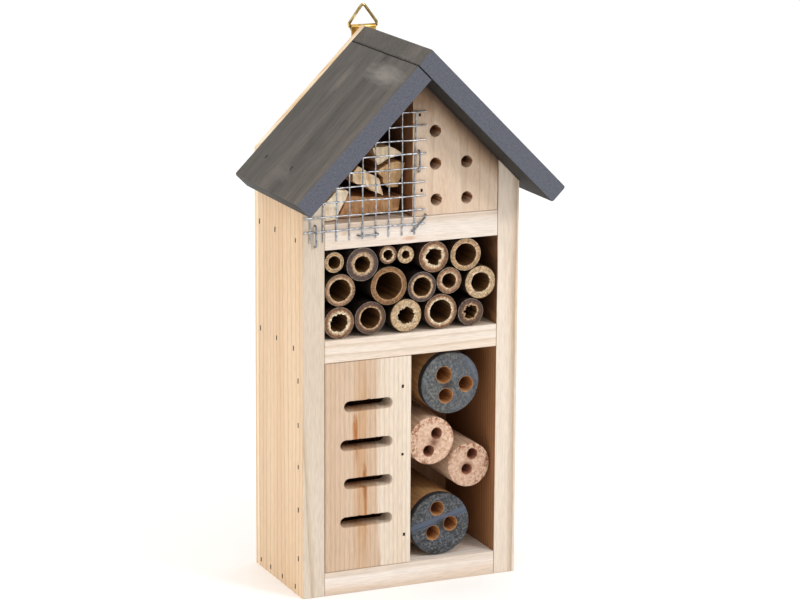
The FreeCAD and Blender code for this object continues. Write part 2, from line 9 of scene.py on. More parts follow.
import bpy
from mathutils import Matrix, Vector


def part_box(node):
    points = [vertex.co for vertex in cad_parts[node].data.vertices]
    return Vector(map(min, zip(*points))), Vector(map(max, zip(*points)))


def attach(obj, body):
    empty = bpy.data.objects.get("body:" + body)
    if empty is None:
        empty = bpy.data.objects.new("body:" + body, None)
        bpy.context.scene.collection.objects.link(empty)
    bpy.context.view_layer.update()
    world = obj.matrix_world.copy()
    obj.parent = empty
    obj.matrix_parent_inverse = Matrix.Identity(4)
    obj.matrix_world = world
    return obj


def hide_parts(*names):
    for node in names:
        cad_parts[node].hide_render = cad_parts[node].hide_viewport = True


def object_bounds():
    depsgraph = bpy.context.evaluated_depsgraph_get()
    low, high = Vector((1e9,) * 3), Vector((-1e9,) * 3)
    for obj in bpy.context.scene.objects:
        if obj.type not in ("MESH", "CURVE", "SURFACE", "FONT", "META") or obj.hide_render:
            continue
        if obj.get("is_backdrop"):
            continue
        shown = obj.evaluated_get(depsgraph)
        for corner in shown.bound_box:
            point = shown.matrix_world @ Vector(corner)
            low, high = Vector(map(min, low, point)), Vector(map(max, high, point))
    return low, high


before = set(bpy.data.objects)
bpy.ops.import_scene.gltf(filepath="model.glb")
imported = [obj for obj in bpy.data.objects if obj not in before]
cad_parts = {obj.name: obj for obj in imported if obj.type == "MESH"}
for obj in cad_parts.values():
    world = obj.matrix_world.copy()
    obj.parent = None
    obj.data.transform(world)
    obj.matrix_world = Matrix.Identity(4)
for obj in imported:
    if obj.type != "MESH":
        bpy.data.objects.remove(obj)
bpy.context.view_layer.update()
print("nodes:", len(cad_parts))

# %% [markdown]
# ## Units, and a source of small accidents
#
# Everything is in metres, as the frame is, so sizes that a joiner would say in millimetres are
# written as a number times MM. Wood is never perfectly regular. Seeded random numbers give each
# piece its own small accidents, and give the same ones on every run.

# %% Units and random numbers
import math
import random

import bmesh
import bpy
import numpy as np
from mathutils import Matrix, Vector, noise

MM = 0.001
FULL_TURN = 2 * math.pi

# %% [markdown]
# ## Colours
#
# A colour given as a hex code is an sRGB value, as in a paint program. Shaders add and multiply
# light, so they need linear values. One function turns the first into the second.

# %% Colour helper


def linear(hex_colour):
    """The linear red, green, blue and alpha of an sRGB hex colour."""
    channels = [int(hex_colour[start:start + 2], 16) / 255 for start in (1, 3, 5)]
    curved = [c / 12.92 if c <= 0.04045 else ((c + 0.055) / 1.055) ** 2.4 for c in channels]
    return (*curved, 1.0)


print("mid grey #808080 is", round(linear("#808080")[0], 3), "in linear light")

# %% [markdown]
# ## Adding shader nodes
#
# A material is a small network. This helper adds one node to it: keyword settings are the node's
# own options, and the dictionary fills its sockets, by name or number, with values or with the
# output of another node. A colour ramp's stops are a list of places and colours.

# %% Node helper


def add_node(tree, kind, sockets=None, stops=None, **settings):
    """Adds one shader node with its settings, socket values and links, and returns it."""
    node = tree.nodes.new("ShaderNode" + kind)
    for name, value in settings.items():
        setattr(node, name, value)
    for socket, value in (sockets or {}).items():
        if isinstance(value, bpy.types.NodeSocket):
            tree.links.new(value, node.inputs[socket])
        else:
            node.inputs[socket].default_value = value
    if stops:
        ramp = node.color_ramp
        while len(ramp.elements) < len(stops):
            ramp.elements.new(0.5)
        for element, (place, colour) in zip(ramp.elements, stops):
            element.position = place
            element.color = colour
    return node


def new_material(name):
    """An empty material, its node tree and its Principled shader."""
    material = bpy.data.materials.new(name)
    material.use_nodes = True
    tree = material.node_tree
    return material, tree, tree.nodes["Principled BSDF"]


def grey(value):
    """A neutral colour for a ramp that carries a mask or a height."""
    return (value, value, value, 1.0)


print("node helper ready")

# %% [markdown]
# ## Planed pine
#
# Pine is wood of an evergreen tree: in each year's ring the pale, soft early wood turns gradually
# into darker late wood, which stops sharply where the next year begins. A board shows this as lines
# along its grain and as arcs on its sawn ends. The pattern could be painted on each face, but then
# the faces would not meet at the edges. Here the tree is modelled instead: rings round a pith line
# somewhere beside the board, wavering a little, and stretched along the grain. Every face then cuts
# the same rings. Planed and unfinished, the wood is matt, with a roughness of about 0.6, and its
# index of refraction is about 1.5.
#
# Three things may lie over the grain: soft spots, for resin streaks and knots and on two boards for
# painted shade; painted light and shade over the faces that look one way; and a painted shadow
# close under a roof.

# %% Pine material

GRAIN_TURNS = {
    "up": (0.0, 0.0, 0.0),
    "across": (0.0, math.pi / 2, 0.0),
    "back": (-math.pi / 2, 0.0, 0.0),
    "left_slope": (0.0, math.pi / 4, 0.0),
    "right_slope": (0.0, -math.pi / 4, 0.0),
}
GRAIN_STRETCH = 14.0


def grain_coordinates(tree, grain, pith, waver):
    """Places in the tree that the board was cut from: the pith is the Z axis."""
    place = add_node(tree, "TexCoord").outputs["Object"]
    turned = add_node(tree, "Mapping", {"Vector": place, "Location": [c * MM for c in pith],
                                        "Rotation": GRAIN_TURNS[grain],
                                        "Scale": (1.0, 1.0, GRAIN_STRETCH)}, vector_type="TEXTURE")
    wave = add_node(tree, "TexNoise", {"Vector": turned.outputs[0], "Scale": 45.0, "Detail": 3.0,
                                       "Roughness": 0.45})
    centred = add_node(tree, "VectorMath", {0: wave.outputs["Color"], 1: (0.5, 0.5, 0.5)},
                       operation="SUBTRACT")
    shift = add_node(tree, "VectorMath", {0: centred.outputs[0], "Scale": waver * MM},
                     operation="SCALE")
    return add_node(tree, "VectorMath", {0: turned.outputs[0], 1: shift.outputs[0]},
                    operation="ADD").outputs[0]


def year_rings(tree, place, ring):
    """From 0 at the start of each year's growth to 1 at its end; ring is a year's width."""
    flat = add_node(tree, "VectorMath", {0: place, 1: (1.0, 1.0, 0.0)}, operation="MULTIPLY")
    distance = add_node(tree, "VectorMath", {0: flat.outputs[0]}, operation="LENGTH")
    years = add_node(tree, "Math", {0: distance.outputs["Value"], 1: ring * MM}, operation="DIVIDE")
    return add_node(tree, "Math", {0: years.outputs[0]}, operation="FRACT").outputs[0]


def add_spots(tree, colour, spots, blend="MULTIPLY"):
    """Stains, knots, worn places and patches of painted shade over a colour.
    A spot is its place and size in millimetres, how soft its edge is, and its colour."""
    for centre, size, softness, stain in spots:
        world = add_node(tree, "TexCoord").outputs["Object"]
        local = add_node(tree, "Mapping", {"Vector": world, "Location": [c * MM for c in centre],
                                           "Scale": [s * MM for s in size]}, vector_type="TEXTURE")
        wander = add_node(tree, "TexNoise", {"Vector": local.outputs[0], "Scale": 3.0,
                                             "Detail": 4.0})
        centred = add_node(tree, "VectorMath", {0: wander.outputs["Color"], 1: (0.5, 0.5, 0.5)},
                           operation="SUBTRACT")
        moved = add_node(tree, "VectorMath", {0: centred.outputs[0], 1: (0.9, 0.9, 0.9),
                                              2: local.outputs[0]}, operation="MULTIPLY_ADD")
        reach = add_node(tree, "VectorMath", {0: moved.outputs[0]}, operation="LENGTH")
        mask = add_node(tree, "ValToRGB", {0: reach.outputs["Value"]}, stops=[
            (1.0 - softness, grey(1.0)), (1.0, grey(0.0))])
        colour = add_node(tree, "Mix", {0: mask.outputs[0], 6: colour, 7: linear(stain)},
                          data_type="RGBA", blend_type=blend).outputs[2]
    return colour


def paint_light_by_facing(tree, colour, faces):
    """Painted light and shade over single faces: the direction that a face looks in, and the colour
    multiplied in there.
    """
    for direction, tint in faces:
        normal = add_node(tree, "NewGeometry").outputs["Normal"]
        towards = add_node(tree, "VectorMath", {0: normal, 1: direction}, operation="DOT_PRODUCT")
        mask = add_node(tree, "ValToRGB", {0: towards.outputs["Value"]}, stops=[
            (0.8, grey(0.0)), (0.95, grey(1.0))])
        colour = add_node(tree, "Mix", {0: mask.outputs[0], 6: colour, 7: linear(tint)},
                          data_type="RGBA", blend_type="MULTIPLY").outputs[2]
    return colour


def painted_roof_shadow(tree, colour, shadow_line):
    """A painted shadow close under a roof: a point of its underside, the way down from it, and its
    reach.
    """
    point, away, reach = shadow_line
    world = add_node(tree, "TexCoord").outputs["Object"]
    offset = add_node(tree, "VectorMath", {0: world, 1: point}, operation="SUBTRACT")
    below = add_node(tree, "VectorMath", {0: offset.outputs[0], 1: away}, operation="DOT_PRODUCT")
    share = add_node(tree, "MapRange", {"Value": below.outputs["Value"], "From Min": 0.0,
                                        "From Max": reach * MM})
    roof_shadow = add_node(tree, "ValToRGB", {0: share.outputs[0]}, stops=[
        (0.0, linear("#5c4d3f")), (0.2, linear("#91806f")), (0.55, linear("#d9cec3")),
        (1.0, grey(1.0))])
    return add_node(tree, "Mix", {0: 1.0, 6: colour, 7: roof_shadow.outputs[0]}, data_type="RGBA",
                    blend_type="MULTIPLY").outputs[2]


def pine(name, grain, pith, ring=3.2, early="#f3e4cd", late="#dcbf97", waver=9.0, tint="#e9cfae",
         late_from=0.5, spots=(), faces=(), shadow_line=None):
    """Planed pine. pith is a point of the pith line, ring a year's width and waver how far the
    rings wander, in millimetres; a year's growth turns dark from late_from on. spots are soft
    spots of stain and of painted shade, faces is painted light and shade on the faces that look
    one way, and the last argument is the line of a painted shadow under a roof."""
    material, tree, shader = new_material(name)
    place = grain_coordinates(tree, grain, pith, waver)
    rings = year_rings(tree, place, ring)
    years = add_node(tree, "ValToRGB", {0: rings}, stops=[
        (0.0, linear(early)), (late_from, linear(early)), (0.93, linear(late)),
        (1.0, linear(early))])
    broad = add_node(tree, "TexNoise", {"Vector": place, "Scale": 60.0, "Detail": 2.0})
    tone = add_node(tree, "ValToRGB", {0: broad.outputs[0]}, stops=[
        (0.35, grey(0.0)), (0.7, grey(1.0))])
    toned = add_node(tree, "Mix", {0: tone.outputs[0], 6: years.outputs[0], 7: linear(tint)},
                     data_type="RGBA", blend_type="MULTIPLY")
    fibres = add_node(tree, "TexNoise", {"Vector": place, "Scale": 2200.0, "Detail": 3.0})
    streaks = add_node(tree, "ValToRGB", {0: fibres.outputs[0]}, stops=[
        (0.3, grey(0.84)), (0.62, grey(1.0))])
    colour = add_node(tree, "Mix", {0: 1.0, 6: toned.outputs[2], 7: streaks.outputs[0]},
                      data_type="RGBA", blend_type="MULTIPLY").outputs[2]
    colour = paint_light_by_facing(tree, add_spots(tree, colour, spots), faces)
    if shadow_line:
        colour = painted_roof_shadow(tree, colour, shadow_line)
    tree.links.new(colour, shader.inputs["Base Color"])
    relief = add_node(tree, "Math", {0: fibres.outputs[0], 1: rings}, operation="ADD")
    bump = add_node(tree, "Bump", {"Strength": 0.35, "Distance": 0.12 * MM,
                                   "Height": relief.outputs[0]})
    tree.links.new(bump.outputs[0], shader.inputs["Normal"])
    shader.inputs["Roughness"].default_value = 0.62
    return material


print("pine ready, grain stretched", GRAIN_STRETCH, "times")

# %% [markdown]
# ## Boards sawn from a flat outline
#
# Each board of the house has one outline, seen from the front, and one depth. A filled 2-D curve
# makes such a piece directly: its outline may have holes, its extrusion is the depth, and its bevel
# rounds every edge a little, as sanding does. Edges that were quite sharp would catch no light,
# and a boolean cut would leave the holes' rims sharp too.

# %% Board helpers

EDGE_ROUND = 0.35 * MM


def take_over(piece, nodes, body="house"):
    """The piece stands for these nodes, hides them and moves with their body."""
    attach(piece, body)
    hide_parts(*nodes)
    return piece


def mesh_piece(name, mesh, materials, smooth_angle=35):
    """A mesh object with its materials, shaded smooth except over sharp edges."""
    piece = bpy.data.objects.new(name, mesh)
    bpy.context.scene.collection.objects.link(piece)
    for material in materials:
        mesh.materials.append(material)
    mesh.shade_smooth()
    mesh.set_sharp_from_angle(angle=math.radians(smooth_angle))
    return piece


def mesh_from_curve(name, curve):
    """The mesh that a curve's bevel and extrusion make."""
    carrier = bpy.data.objects.new(name + "_curve", curve)
    bpy.context.scene.collection.objects.link(carrier)
    bpy.context.view_layer.update()
    evaluated = carrier.evaluated_get(bpy.context.evaluated_depsgraph_get())
    mesh = bpy.data.meshes.new_from_object(evaluated)
    bpy.data.objects.remove(carrier)
    mesh.name = name
    mesh.materials.clear()
    return mesh


def sawn_board(name, outline, front, back, material, holes=(), edge=EDGE_ROUND):
    """A board with its outline in X and Z, from front to back in Y, its edges slightly rounded."""
    curve = bpy.data.curves.new(name + "_outline", "CURVE")
    curve.dimensions = "2D"
    curve.fill_mode = "BOTH"
    curve.bevel_depth = edge
    curve.bevel_resolution = 2
    curve.offset = -edge
    curve.extrude = (back - front) / 2 - edge
    for loop in (outline, *holes):
        spline = curve.splines.new("POLY")
        spline.points.add(len(loop) - 1)
        for point, (across, up) in zip(spline.points, loop):
            point.co = (across, up, 0.0, 1.0)
        spline.use_cyclic_u = True
    mesh = mesh_from_curve(name, curve)
    upright = Matrix.Rotation(math.pi / 2, 4, "X")
    mesh.transform(Matrix.Translation((0, (front + back) / 2, 0)) @ upright)
    return mesh_piece(name, mesh, [material])


print("edges rounded to", EDGE_ROUND / MM, "mm")

# %% [markdown]
# ## The carcass
#
# The side panels, base, shelves and dividers are planed pine boards, and their places come from the
# frame. A front board's outline is read off its solid's box; the side panels' tops are bevelled
# to the roof's 45 degrees. Each board gets its own material, because no two boards are cut from
# the same part of a tree: the pith is placed so that the rings cross the visible faces as close
# lines on the side panels' edges and as wider bands elsewhere.
# The dividers stand deep in the bays, and their dark brown is painted shade.

# %% Read the house's main sizes from the frame

left_low, left_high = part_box("side_panel_left")
back_low, back_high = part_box("back_panel")
front_y = left_low.y
back_board_y = left_high.y
half_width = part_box("side_panel_right")[1].x
board = left_high.x - left_low.x
eave_height = left_high.z - board
ridge_height = eave_height + half_width
print("front at", round(front_y / MM, 2), "mm")
print("ridge's underside at", round(ridge_height / MM, 2), "mm")

# %% Side panels


def side_outline(sign):
    """A side panel seen from the front, its top bevelled to the roof's slope."""
    outer = sign * half_width
    inner = sign * (half_width - board)
    return [(outer, 0.0), (inner, 0.0), (inner, eave_height + board), (outer, eave_height)]


FACING_LEFT = (-1.0, 0.0, 0.0)
FACING_FRONT = (0.0, -1.0, 0.0)
SIDE_PINE = {
    # On the left panel the face tints are painted light: warmer on the outer side than on the front
    # edge.
    "left": pine("pine_side_left", "up", (-22.0, 68.0, 0.0), ring=3.9, early="#e0d2c2",
                 late="#cdb69d", waver=9.0, tint="#f2eae0", late_from=0.72,
                 faces=((FACING_LEFT, "#fff2df"), (FACING_FRONT, "#f5f5f3")),
                 spots=(((-57.2, -29.3, 165.0), (0.4, 2.0, 70.0), 0.6, "#b3947c"),
                        ((-56.2, -29.3, 60.0), (0.4, 2.0, 64.0), 0.6, "#c0a48e"))),
    # On the right panel the darker inner face is painted shade, and the spot is deeper painted
    # shade in the tube bay.
    "right": pine("pine_side_right", "up", (40.0, -66.0, 0.0), ring=2.3, early="#e4d6c6",
                  late="#bea993", waver=5.0, tint="#f2e8dd", faces=((FACING_LEFT, "#b58a64"),),
                  spots=(((42.3, 0.0, 141.0), (0.8, 44.0, 28.0), 0.25, "#a89c92"),)),
}
for side, sign in (("left", -1), ("right", 1)):
    node = "side_panel_" + side
    panel = sawn_board(node + "_planed", side_outline(sign), front_y, back_board_y,
                       SIDE_PINE[side])
    take_over(panel, [node])
    print(panel.name, len(panel.data.polygons), "faces")

# %% Base, shelves and dividers


def box_outline(low, high):
    """The rectangle that a board fills, seen from the front."""
    return [(low.x, low.z), (high.x, low.z), (high.x, high.z), (low.x, high.z)]


LEVEL_PINE = {
    "base_board": pine("pine_base", "across", (0.0, -74.0, 22.0), ring=3.6, early="#efe7df",
                       late="#dfd2c4", waver=7.0, tint="#ecd8c4"),
    "lower_shelf": pine("pine_lower_shelf", "across", (0.0, 30.0, 84.0), ring=1.9, early="#ebdfd2",
                        late="#d8c6b2", waver=7.0, tint="#ebd5bd"),
    "upper_shelf": pine("pine_upper_shelf", "across", (0.0, -66.0, 160.0), ring=2.6,
                        early="#ebe0d5", late="#d9c8b7", waver=6.0, tint="#ebd5bd", spots=(
                            ((-1.5, -30.0, 163.4), (4.2, 6.0, 1.3), 0.6, "#edd3c4"),
                            ((-33.0, -30.0, 168.0), (2.0, 5.0, 1.2), 0.7, "#ecd8c6"))),
}
for node, material in LEVEL_PINE.items():
    low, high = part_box(node)
    shelf = sawn_board(node + "_planed", box_outline(low, high), low.y, high.y, material)
    take_over(shelf, [node])

# The dividers' dark brown is painted shade for the deep bays they stand in.
shaded_divider_pine = pine("pine_dividers_shaded", "up", (30.0, 50.0, 0.0), ring=3.0, early="#8d6443",
                    late="#6b4429", waver=6.0, tint="#f0e0d0")
low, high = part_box("lower_divider")
divider = sawn_board("lower_divider_planed", box_outline(low, high), low.y, high.y, shaded_divider_pine)
take_over(divider, ["lower_divider"])
low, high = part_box("upper_divider")
gable_cut = [(low.x, low.z), (high.x, low.z), (high.x, ridge_height - high.x),
             (low.x, ridge_height - low.x)]
divider = sawn_board("upper_divider_planed", gable_cut, low.y, high.y, shaded_divider_pine)
take_over(divider, ["upper_divider"])
print("carcass boards:", len(LEVEL_PINE) + 4)

# %% [markdown]
# ## The back board
#
# A thin board closes the back. It is as wide as the house, and its gable stands level with the
# roof's top surface, so that a pale edge of it shows behind the roof. Its grain runs up, and
# weather has not touched it yet.

# %% Back board

# The darker tint on its face towards the front, seen only through the bays, is painted shade.
back_pine = pine("pine_back", "up", (12.0, 140.0, 0.0), ring=5.0, early="#f4e6cf",
                 late="#e0c7a0", waver=16.0, faces=((FACING_FRONT, "#c4a084"),), spots=(
                     ((-24.0, 29.0, 66.0), (6.0, 8.0, 8.0), 0.7, "#a5713f"),
                     ((22.0, 29.0, 150.0), (4.5, 8.0, 6.0), 0.7, "#9b6838")))
gable_low = back_high.z - half_width
back_outline = [(-half_width, 0.0), (half_width, 0.0), (half_width, gable_low),
                (0.0, back_high.z), (-half_width, gable_low)]
back_board = sawn_board("back_panel_planed", back_outline, back_low.y, back_high.y, back_pine)
take_over(back_board, ["back_panel"])
print("gable top at", round(back_high.z / MM, 1), "mm")

# %% [markdown]
# ## The slotted panel
#
# Butterflies slip through four slots into a chamber behind. A router cut them: their ends are
# round, and along the upper lips the cutter tore out a few splinters. The outline of each hole is
# drawn point by point, and the upper line is roughened with noise. One half of this board is
# pinkish heartwood and the other pale sapwood, and thin streaks of resin run down it. The panel
# was cut a hair small, so a thin dark joint shows where it meets its neighbours.

# %% Slotted panel


HALF_TURN = math.pi
END_STEPS, LOWER_STEPS, UPPER_STEPS = 12, 10, 30
SPLINTER_WIDTH, SPLINTER_HEIGHT = 2.2 * MM, 0.55 * MM


def slot_outline(centre_x, centre_z, width, height, seed):
    """A round-ended slot whose upper lip is torn a little; it runs clockwise."""
    radius = height / 2
    run = width / 2 - radius
    points = []
    for side, start in ((1, HALF_TURN / 2), (-1, -HALF_TURN / 2)):
        for step in range(END_STEPS + 1):
            turn = start - HALF_TURN * step / END_STEPS
            points.append((centre_x + side * run + radius * math.cos(turn),
                           centre_z + radius * math.sin(turn)))
        if side == 1:
            for step in range(1, LOWER_STEPS):
                points.append((centre_x + run - 2 * run * step / LOWER_STEPS, centre_z - radius))
    for step in range(1, UPPER_STEPS):
        across = centre_x - run + 2 * run * step / UPPER_STEPS
        tear = noise.noise(Vector((across / SPLINTER_WIDTH, seed, 0.0)))
        points.append((across, centre_z + radius + SPLINTER_HEIGHT * max(0.0, tear)))
    return points


heart_spots = (
    ((-38.8, -24.0, 60.0), (25.5, 40.0, 400.0), 0.1, "#e8d7c8"),
    ((-24.6, -24.0, 58.0), (4.6, 40.0, 75.0), 0.6, "#f1e0ca"),
    ((-27.7, -29.0, 77.0), (1.4, 4.0, 9.0), 0.6, "#dfae7a"),
    ((-26.8, -29.0, 72.0), (0.7, 4.0, 15.0), 0.6, "#e6c298"),
    ((-22.9, -29.0, 53.0), (1.3, 4.0, 10.0), 0.6, "#deb07a"),
    ((-22.3, -29.0, 42.0), (1.0, 4.0, 16.0), 0.6, "#e4bd8e"),
    ((-47.5, -29.0, 90.0), (1.6, 4.0, 26.0), 0.7, "#ecd8c2"),
)
slotted_pine = pine("pine_slotted_panel", "up", (-150.0, 30.0, 0.0), ring=2.1, early="#e9ddcf",
                    late="#dccdb8", waver=4.0, tint="#f5ede4", spots=heart_spots)
low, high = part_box("slotted_panel")
# Widths from the lowest slot up, in millimetres; all end in line on the right.
SLOT_WIDTHS = (25.6, 23.8, 25.6, 23.8)
SLOT_HEIGHT = 5.0
SLOT_SPACING = 18.1
FIRST_SLOT = 33.8
SLOT_RIGHT_END = -9.1
slots = []
for number, width in enumerate(SLOT_WIDTHS):
    centre_x = (SLOT_RIGHT_END - width / 2) * MM
    centre_z = (FIRST_SLOT + number * SLOT_SPACING) * MM
    slots.append(slot_outline(centre_x, centre_z, width * MM, SLOT_HEIGHT * MM, number))
JOINT = 0.22 * MM
panel_low = Vector((low.x + JOINT, low.y, low.z + JOINT))
panel_high = Vector((high.x, high.y, high.z - JOINT))
slotted = sawn_board("slotted_panel_planed", box_outline(panel_low, panel_high), low.y, high.y,
                     slotted_pine, slots, edge=0.2 * MM)
take_over(slotted, ["slotted_panel"])
print(slotted.name, "with", len(slots), "slots")

# %% [markdown]
# ## The drilled panel
#
# Solitary bees nest in drilled holes. A twist drill leaves a round hole with a slightly ragged,
# crushed rim. The board fills the right half of the gable, so its upper edge follows the roof, and
# a painted shadow darkens it close under there. It has the same thin joint as the slotted panel.

# %% Drilled panel

BEE_HOLES = ((11.0, 211.3), (11.2, 196.4), (26.6, 196.3), (11.7, 179.9), (26.8, 179.8))
BEE_HOLE_RADIUS = 2.75 * MM
RAGGED_RIM = 0.28 * MM
RIM_STEPS = 40
ROOF_SHADOW_REACH = 9.0


def drilled_outline(centre_x, centre_z, radius, seed):
    """A drilled hole's rim, running clockwise, with a little noise."""
    points = []
    for step in range(RIM_STEPS):
        turn = -FULL_TURN * step / RIM_STEPS
        direction = Vector((math.cos(turn), math.sin(turn), 0.0))
        reach = radius + RAGGED_RIM * noise.noise(direction * 3.0 + Vector((seed, 0.0, 0.0)))
        points.append((centre_x + reach * direction.x, centre_z + reach * direction.y))
    return points


# Painted shade on this board: a darker left edge, a soft patch under the apex, and the shadow that
# the right roof slope casts down it.
drilled_pine = pine("pine_drilled_panel", "up", (-14.0, 46.0, 0.0), ring=5.2, early="#dfc8b1",
                    late="#d0b79d", waver=30.0, tint="#eee0d0", late_from=0.7,
                    faces=((FACING_LEFT, "#b08a68"),),
                    spots=(((3.5, -29.0, 228.0), (9.0, 8.0, 15.0), 0.8, "#cdbfb0"),),
                    shadow_line=((0.0, 0.0, ridge_height), (-0.707, 0.0, -0.707), ROOF_SHADOW_REACH))
low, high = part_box("drilled_panel")
right_edge, bottom_edge = high.x - JOINT, low.z + JOINT
gable_piece = [(low.x, bottom_edge), (right_edge, bottom_edge),
               (right_edge, ridge_height - right_edge), (low.x, ridge_height - low.x)]
bee_holes = []
for number, (across, up) in enumerate(BEE_HOLES):
    bee_holes.append(drilled_outline(across * MM, up * MM, BEE_HOLE_RADIUS, number))
drilled = sawn_board("drilled_panel_planed", gable_piece, low.y, high.y, drilled_pine, bee_holes,
                     edge=0.2 * MM)
take_over(drilled, ["drilled_panel"])
print(drilled.name, "with", len(bee_holes), "holes")

# %% [markdown]
# ## The stained roof
#
# The two roof boards are pine under a slate-grey wood stain. A stain soaks in: the grain still
# shows through it as fine darker and lighter streaks down the slope, it turns brownish where the
# wood drank more, and it looks bluer and speckled on the sawn edges. So the finish has one colour
# for the broad faces and one for the edges that look forwards, mixed by the way a face looks, and
# lays the tree's own streaks over the first. Handling has worn paler places in it, and at the ridge
# one board's end meets the other's top in a chipped seam that holds dirt. It is matt.

# %% Roof stain


# Painted shade on the undersides, which no lamp lights from below.
SHADED_UNDERSIDES = (((0.707, 0.0, -0.707), "#7b7a7c"), ((-0.707, 0.0, -0.707), "#7b7a7c"))


def dirty_seam(tree, colour, seam):
    """Dirt along the line where one board's end meets another: a point of it, and the way past."""
    point, past = seam
    world = add_node(tree, "TexCoord").outputs["Object"]
    offset = add_node(tree, "VectorMath", {0: world, 1: point}, operation="SUBTRACT")
    along = add_node(tree, "VectorMath", {0: offset.outputs[0], 1: past}, operation="DOT_PRODUCT")
    chips = add_node(tree, "TexNoise", {"Vector": world, "Scale": 420.0, "Detail": 4.0,
                                        "Roughness": 0.7})
    ragged = add_node(tree, "Math", {0: chips.outputs[0], 1: 2.6 * MM, 2: -1.3 * MM},
                      operation="MULTIPLY_ADD")
    beyond = add_node(tree, "Math", {0: along.outputs["Value"], 1: ragged.outputs[0]},
                      operation="ADD")
    share = add_node(tree, "MapRange", {"Value": beyond.outputs[0], "From Min": -1.5 * MM,
                                        "From Max": 1.5 * MM})
    dirt = add_node(tree, "ValToRGB", {0: share.outputs[0]}, stops=[
        (0.2, grey(1.0)), (0.42, grey(0.35)), (0.55, grey(0.35)), (0.75, grey(1.0))])
    return add_node(tree, "Mix", {0: 1.0, 6: colour, 7: dirt.outputs[0]}, data_type="RGBA",
                    blend_type="MULTIPLY").outputs[2]


def roof_stain(name, grain, pith, worn, seam):
    """Slate-grey stain on pine: brownish grey on the broad faces, bluish on the sawn edges. worn
    are paler places, for add_spots, and seam is for dirty_seam."""
    material, tree, shader = new_material(name)
    world = add_node(tree, "TexCoord").outputs["Object"]
    place = grain_coordinates(tree, grain, pith, 8.0)
    rings = year_rings(tree, place, 5.5)
    soak = add_node(tree, "TexNoise", {"Vector": place, "Scale": 55.0, "Detail": 4.0,
                                       "Roughness": 0.6})
    broad = add_node(tree, "ValToRGB", {0: soak.outputs[0]}, stops=[
        (0.3, linear("#45413d")), (0.5, linear("#534f4a")), (0.7, linear("#655f59"))]).outputs[0]
    fibres = add_node(tree, "TexNoise", {"Vector": place, "Scale": 1000.0, "Detail": 5.0,
                                         "Roughness": 0.7})
    streaks = add_node(tree, "ValToRGB", {0: fibres.outputs[0]}, stops=[
        (0.32, grey(0.5)), (0.5, grey(0.94)), (0.62, grey(1.0)), (0.72, grey(1.3))])
    years = add_node(tree, "ValToRGB", {0: rings}, stops=[
        (0.0, grey(1.0)), (0.75, grey(0.97)), (0.95, grey(0.84)), (1.0, grey(1.0))])
    for pattern in (streaks, years):
        broad = add_node(tree, "Mix", {0: 1.0, 6: broad, 7: pattern.outputs[0]}, data_type="RGBA",
                         blend_type="MULTIPLY").outputs[2]
    broad = dirty_seam(tree, add_spots(tree, broad, worn, "MIX"), seam)
    speck = add_node(tree, "TexNoise", {"Vector": world, "Scale": 1100.0, "Detail": 4.0,
                                        "Roughness": 0.75})
    edges = add_node(tree, "ValToRGB", {0: speck.outputs[0]}, stops=[
        (0.38, linear("#484a55")), (0.62, linear("#595c68"))])
    normal = add_node(tree, "NewGeometry").outputs["Normal"]
    facing = add_node(tree, "SeparateXYZ", {0: normal}).outputs["Y"]
    sawn = add_node(tree, "Math", {0: facing}, operation="ABSOLUTE").outputs[0]
    edge_mask = add_node(tree, "ValToRGB", {0: sawn}, stops=[
        (0.6, grey(0.0)), (0.85, grey(1.0))])
    stain = add_node(tree, "Mix", {0: edge_mask.outputs[0], 6: broad, 7: edges.outputs[0]},
                     data_type="RGBA").outputs[2]
    # The undersides get painted shade.
    colour = paint_light_by_facing(tree, stain, SHADED_UNDERSIDES)
    tree.links.new(colour, shader.inputs["Base Color"])
    relief = add_node(tree, "Math", {0: fibres.outputs[0], 1: soak.outputs[0]}, operation="ADD")
    bump = add_node(tree, "Bump", {"Strength": 0.5, "Distance": 0.15 * MM,
                                   "Height": relief.outputs[0]})
    tree.links.new(bump.outputs[0], shader.inputs["Normal"])
    shader.inputs["Roughness"].default_value = 0.68
    return material


print("roof stain ready, with", len(SHADED_UNDERSIDES), "darker undersides")

# %% Roof boards

roof_left_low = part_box("roof_board_left")[0]
roof_right_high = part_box("roof_board_right")[1]
roof_step = (roof_right_high.z - ridge_height) / 2
left_eave = -(roof_left_low.x + roof_step)
right_eave = roof_right_high.x - roof_step
EAVE_ROUND = 1.1 * MM
ROOF_EDGE = 0.5 * MM


def rounded_corner(before, corner, after, radius, steps=4):
    """Points along an arc that replaces a corner between two edges."""
    into = (Vector(before) - Vector(corner)).normalized()
    out = (Vector(after) - Vector(corner)).normalized()
    half = into.angle(out) / 2
    reach = radius / math.tan(half)
    start = Vector(corner) + into * reach
    end = Vector(corner) + out * reach
    middle = Vector(corner) + (into + out).normalized() * radius / math.sin(half)
    points = []
    for step in range(steps + 1):
        spoke = (start - middle).lerp(end - middle, step / steps).normalized()
        points.append(tuple(middle + spoke * radius))
    return points


def roof_outline(sign, eave, upper_low):
    """A roof board seen from the front, the two corners of its eave rounded."""
    across, up = upper_low
    lower = (sign * eave, ridge_height - eave)
    upper = (across + sign * roof_step, up + roof_step)
    outer = (sign * (eave + roof_step), ridge_height - eave + roof_step)
    return ([(across, up), upper] + rounded_corner(upper, outer, lower, EAVE_ROUND)
            + rounded_corner(outer, lower, (across, up), EAVE_ROUND))


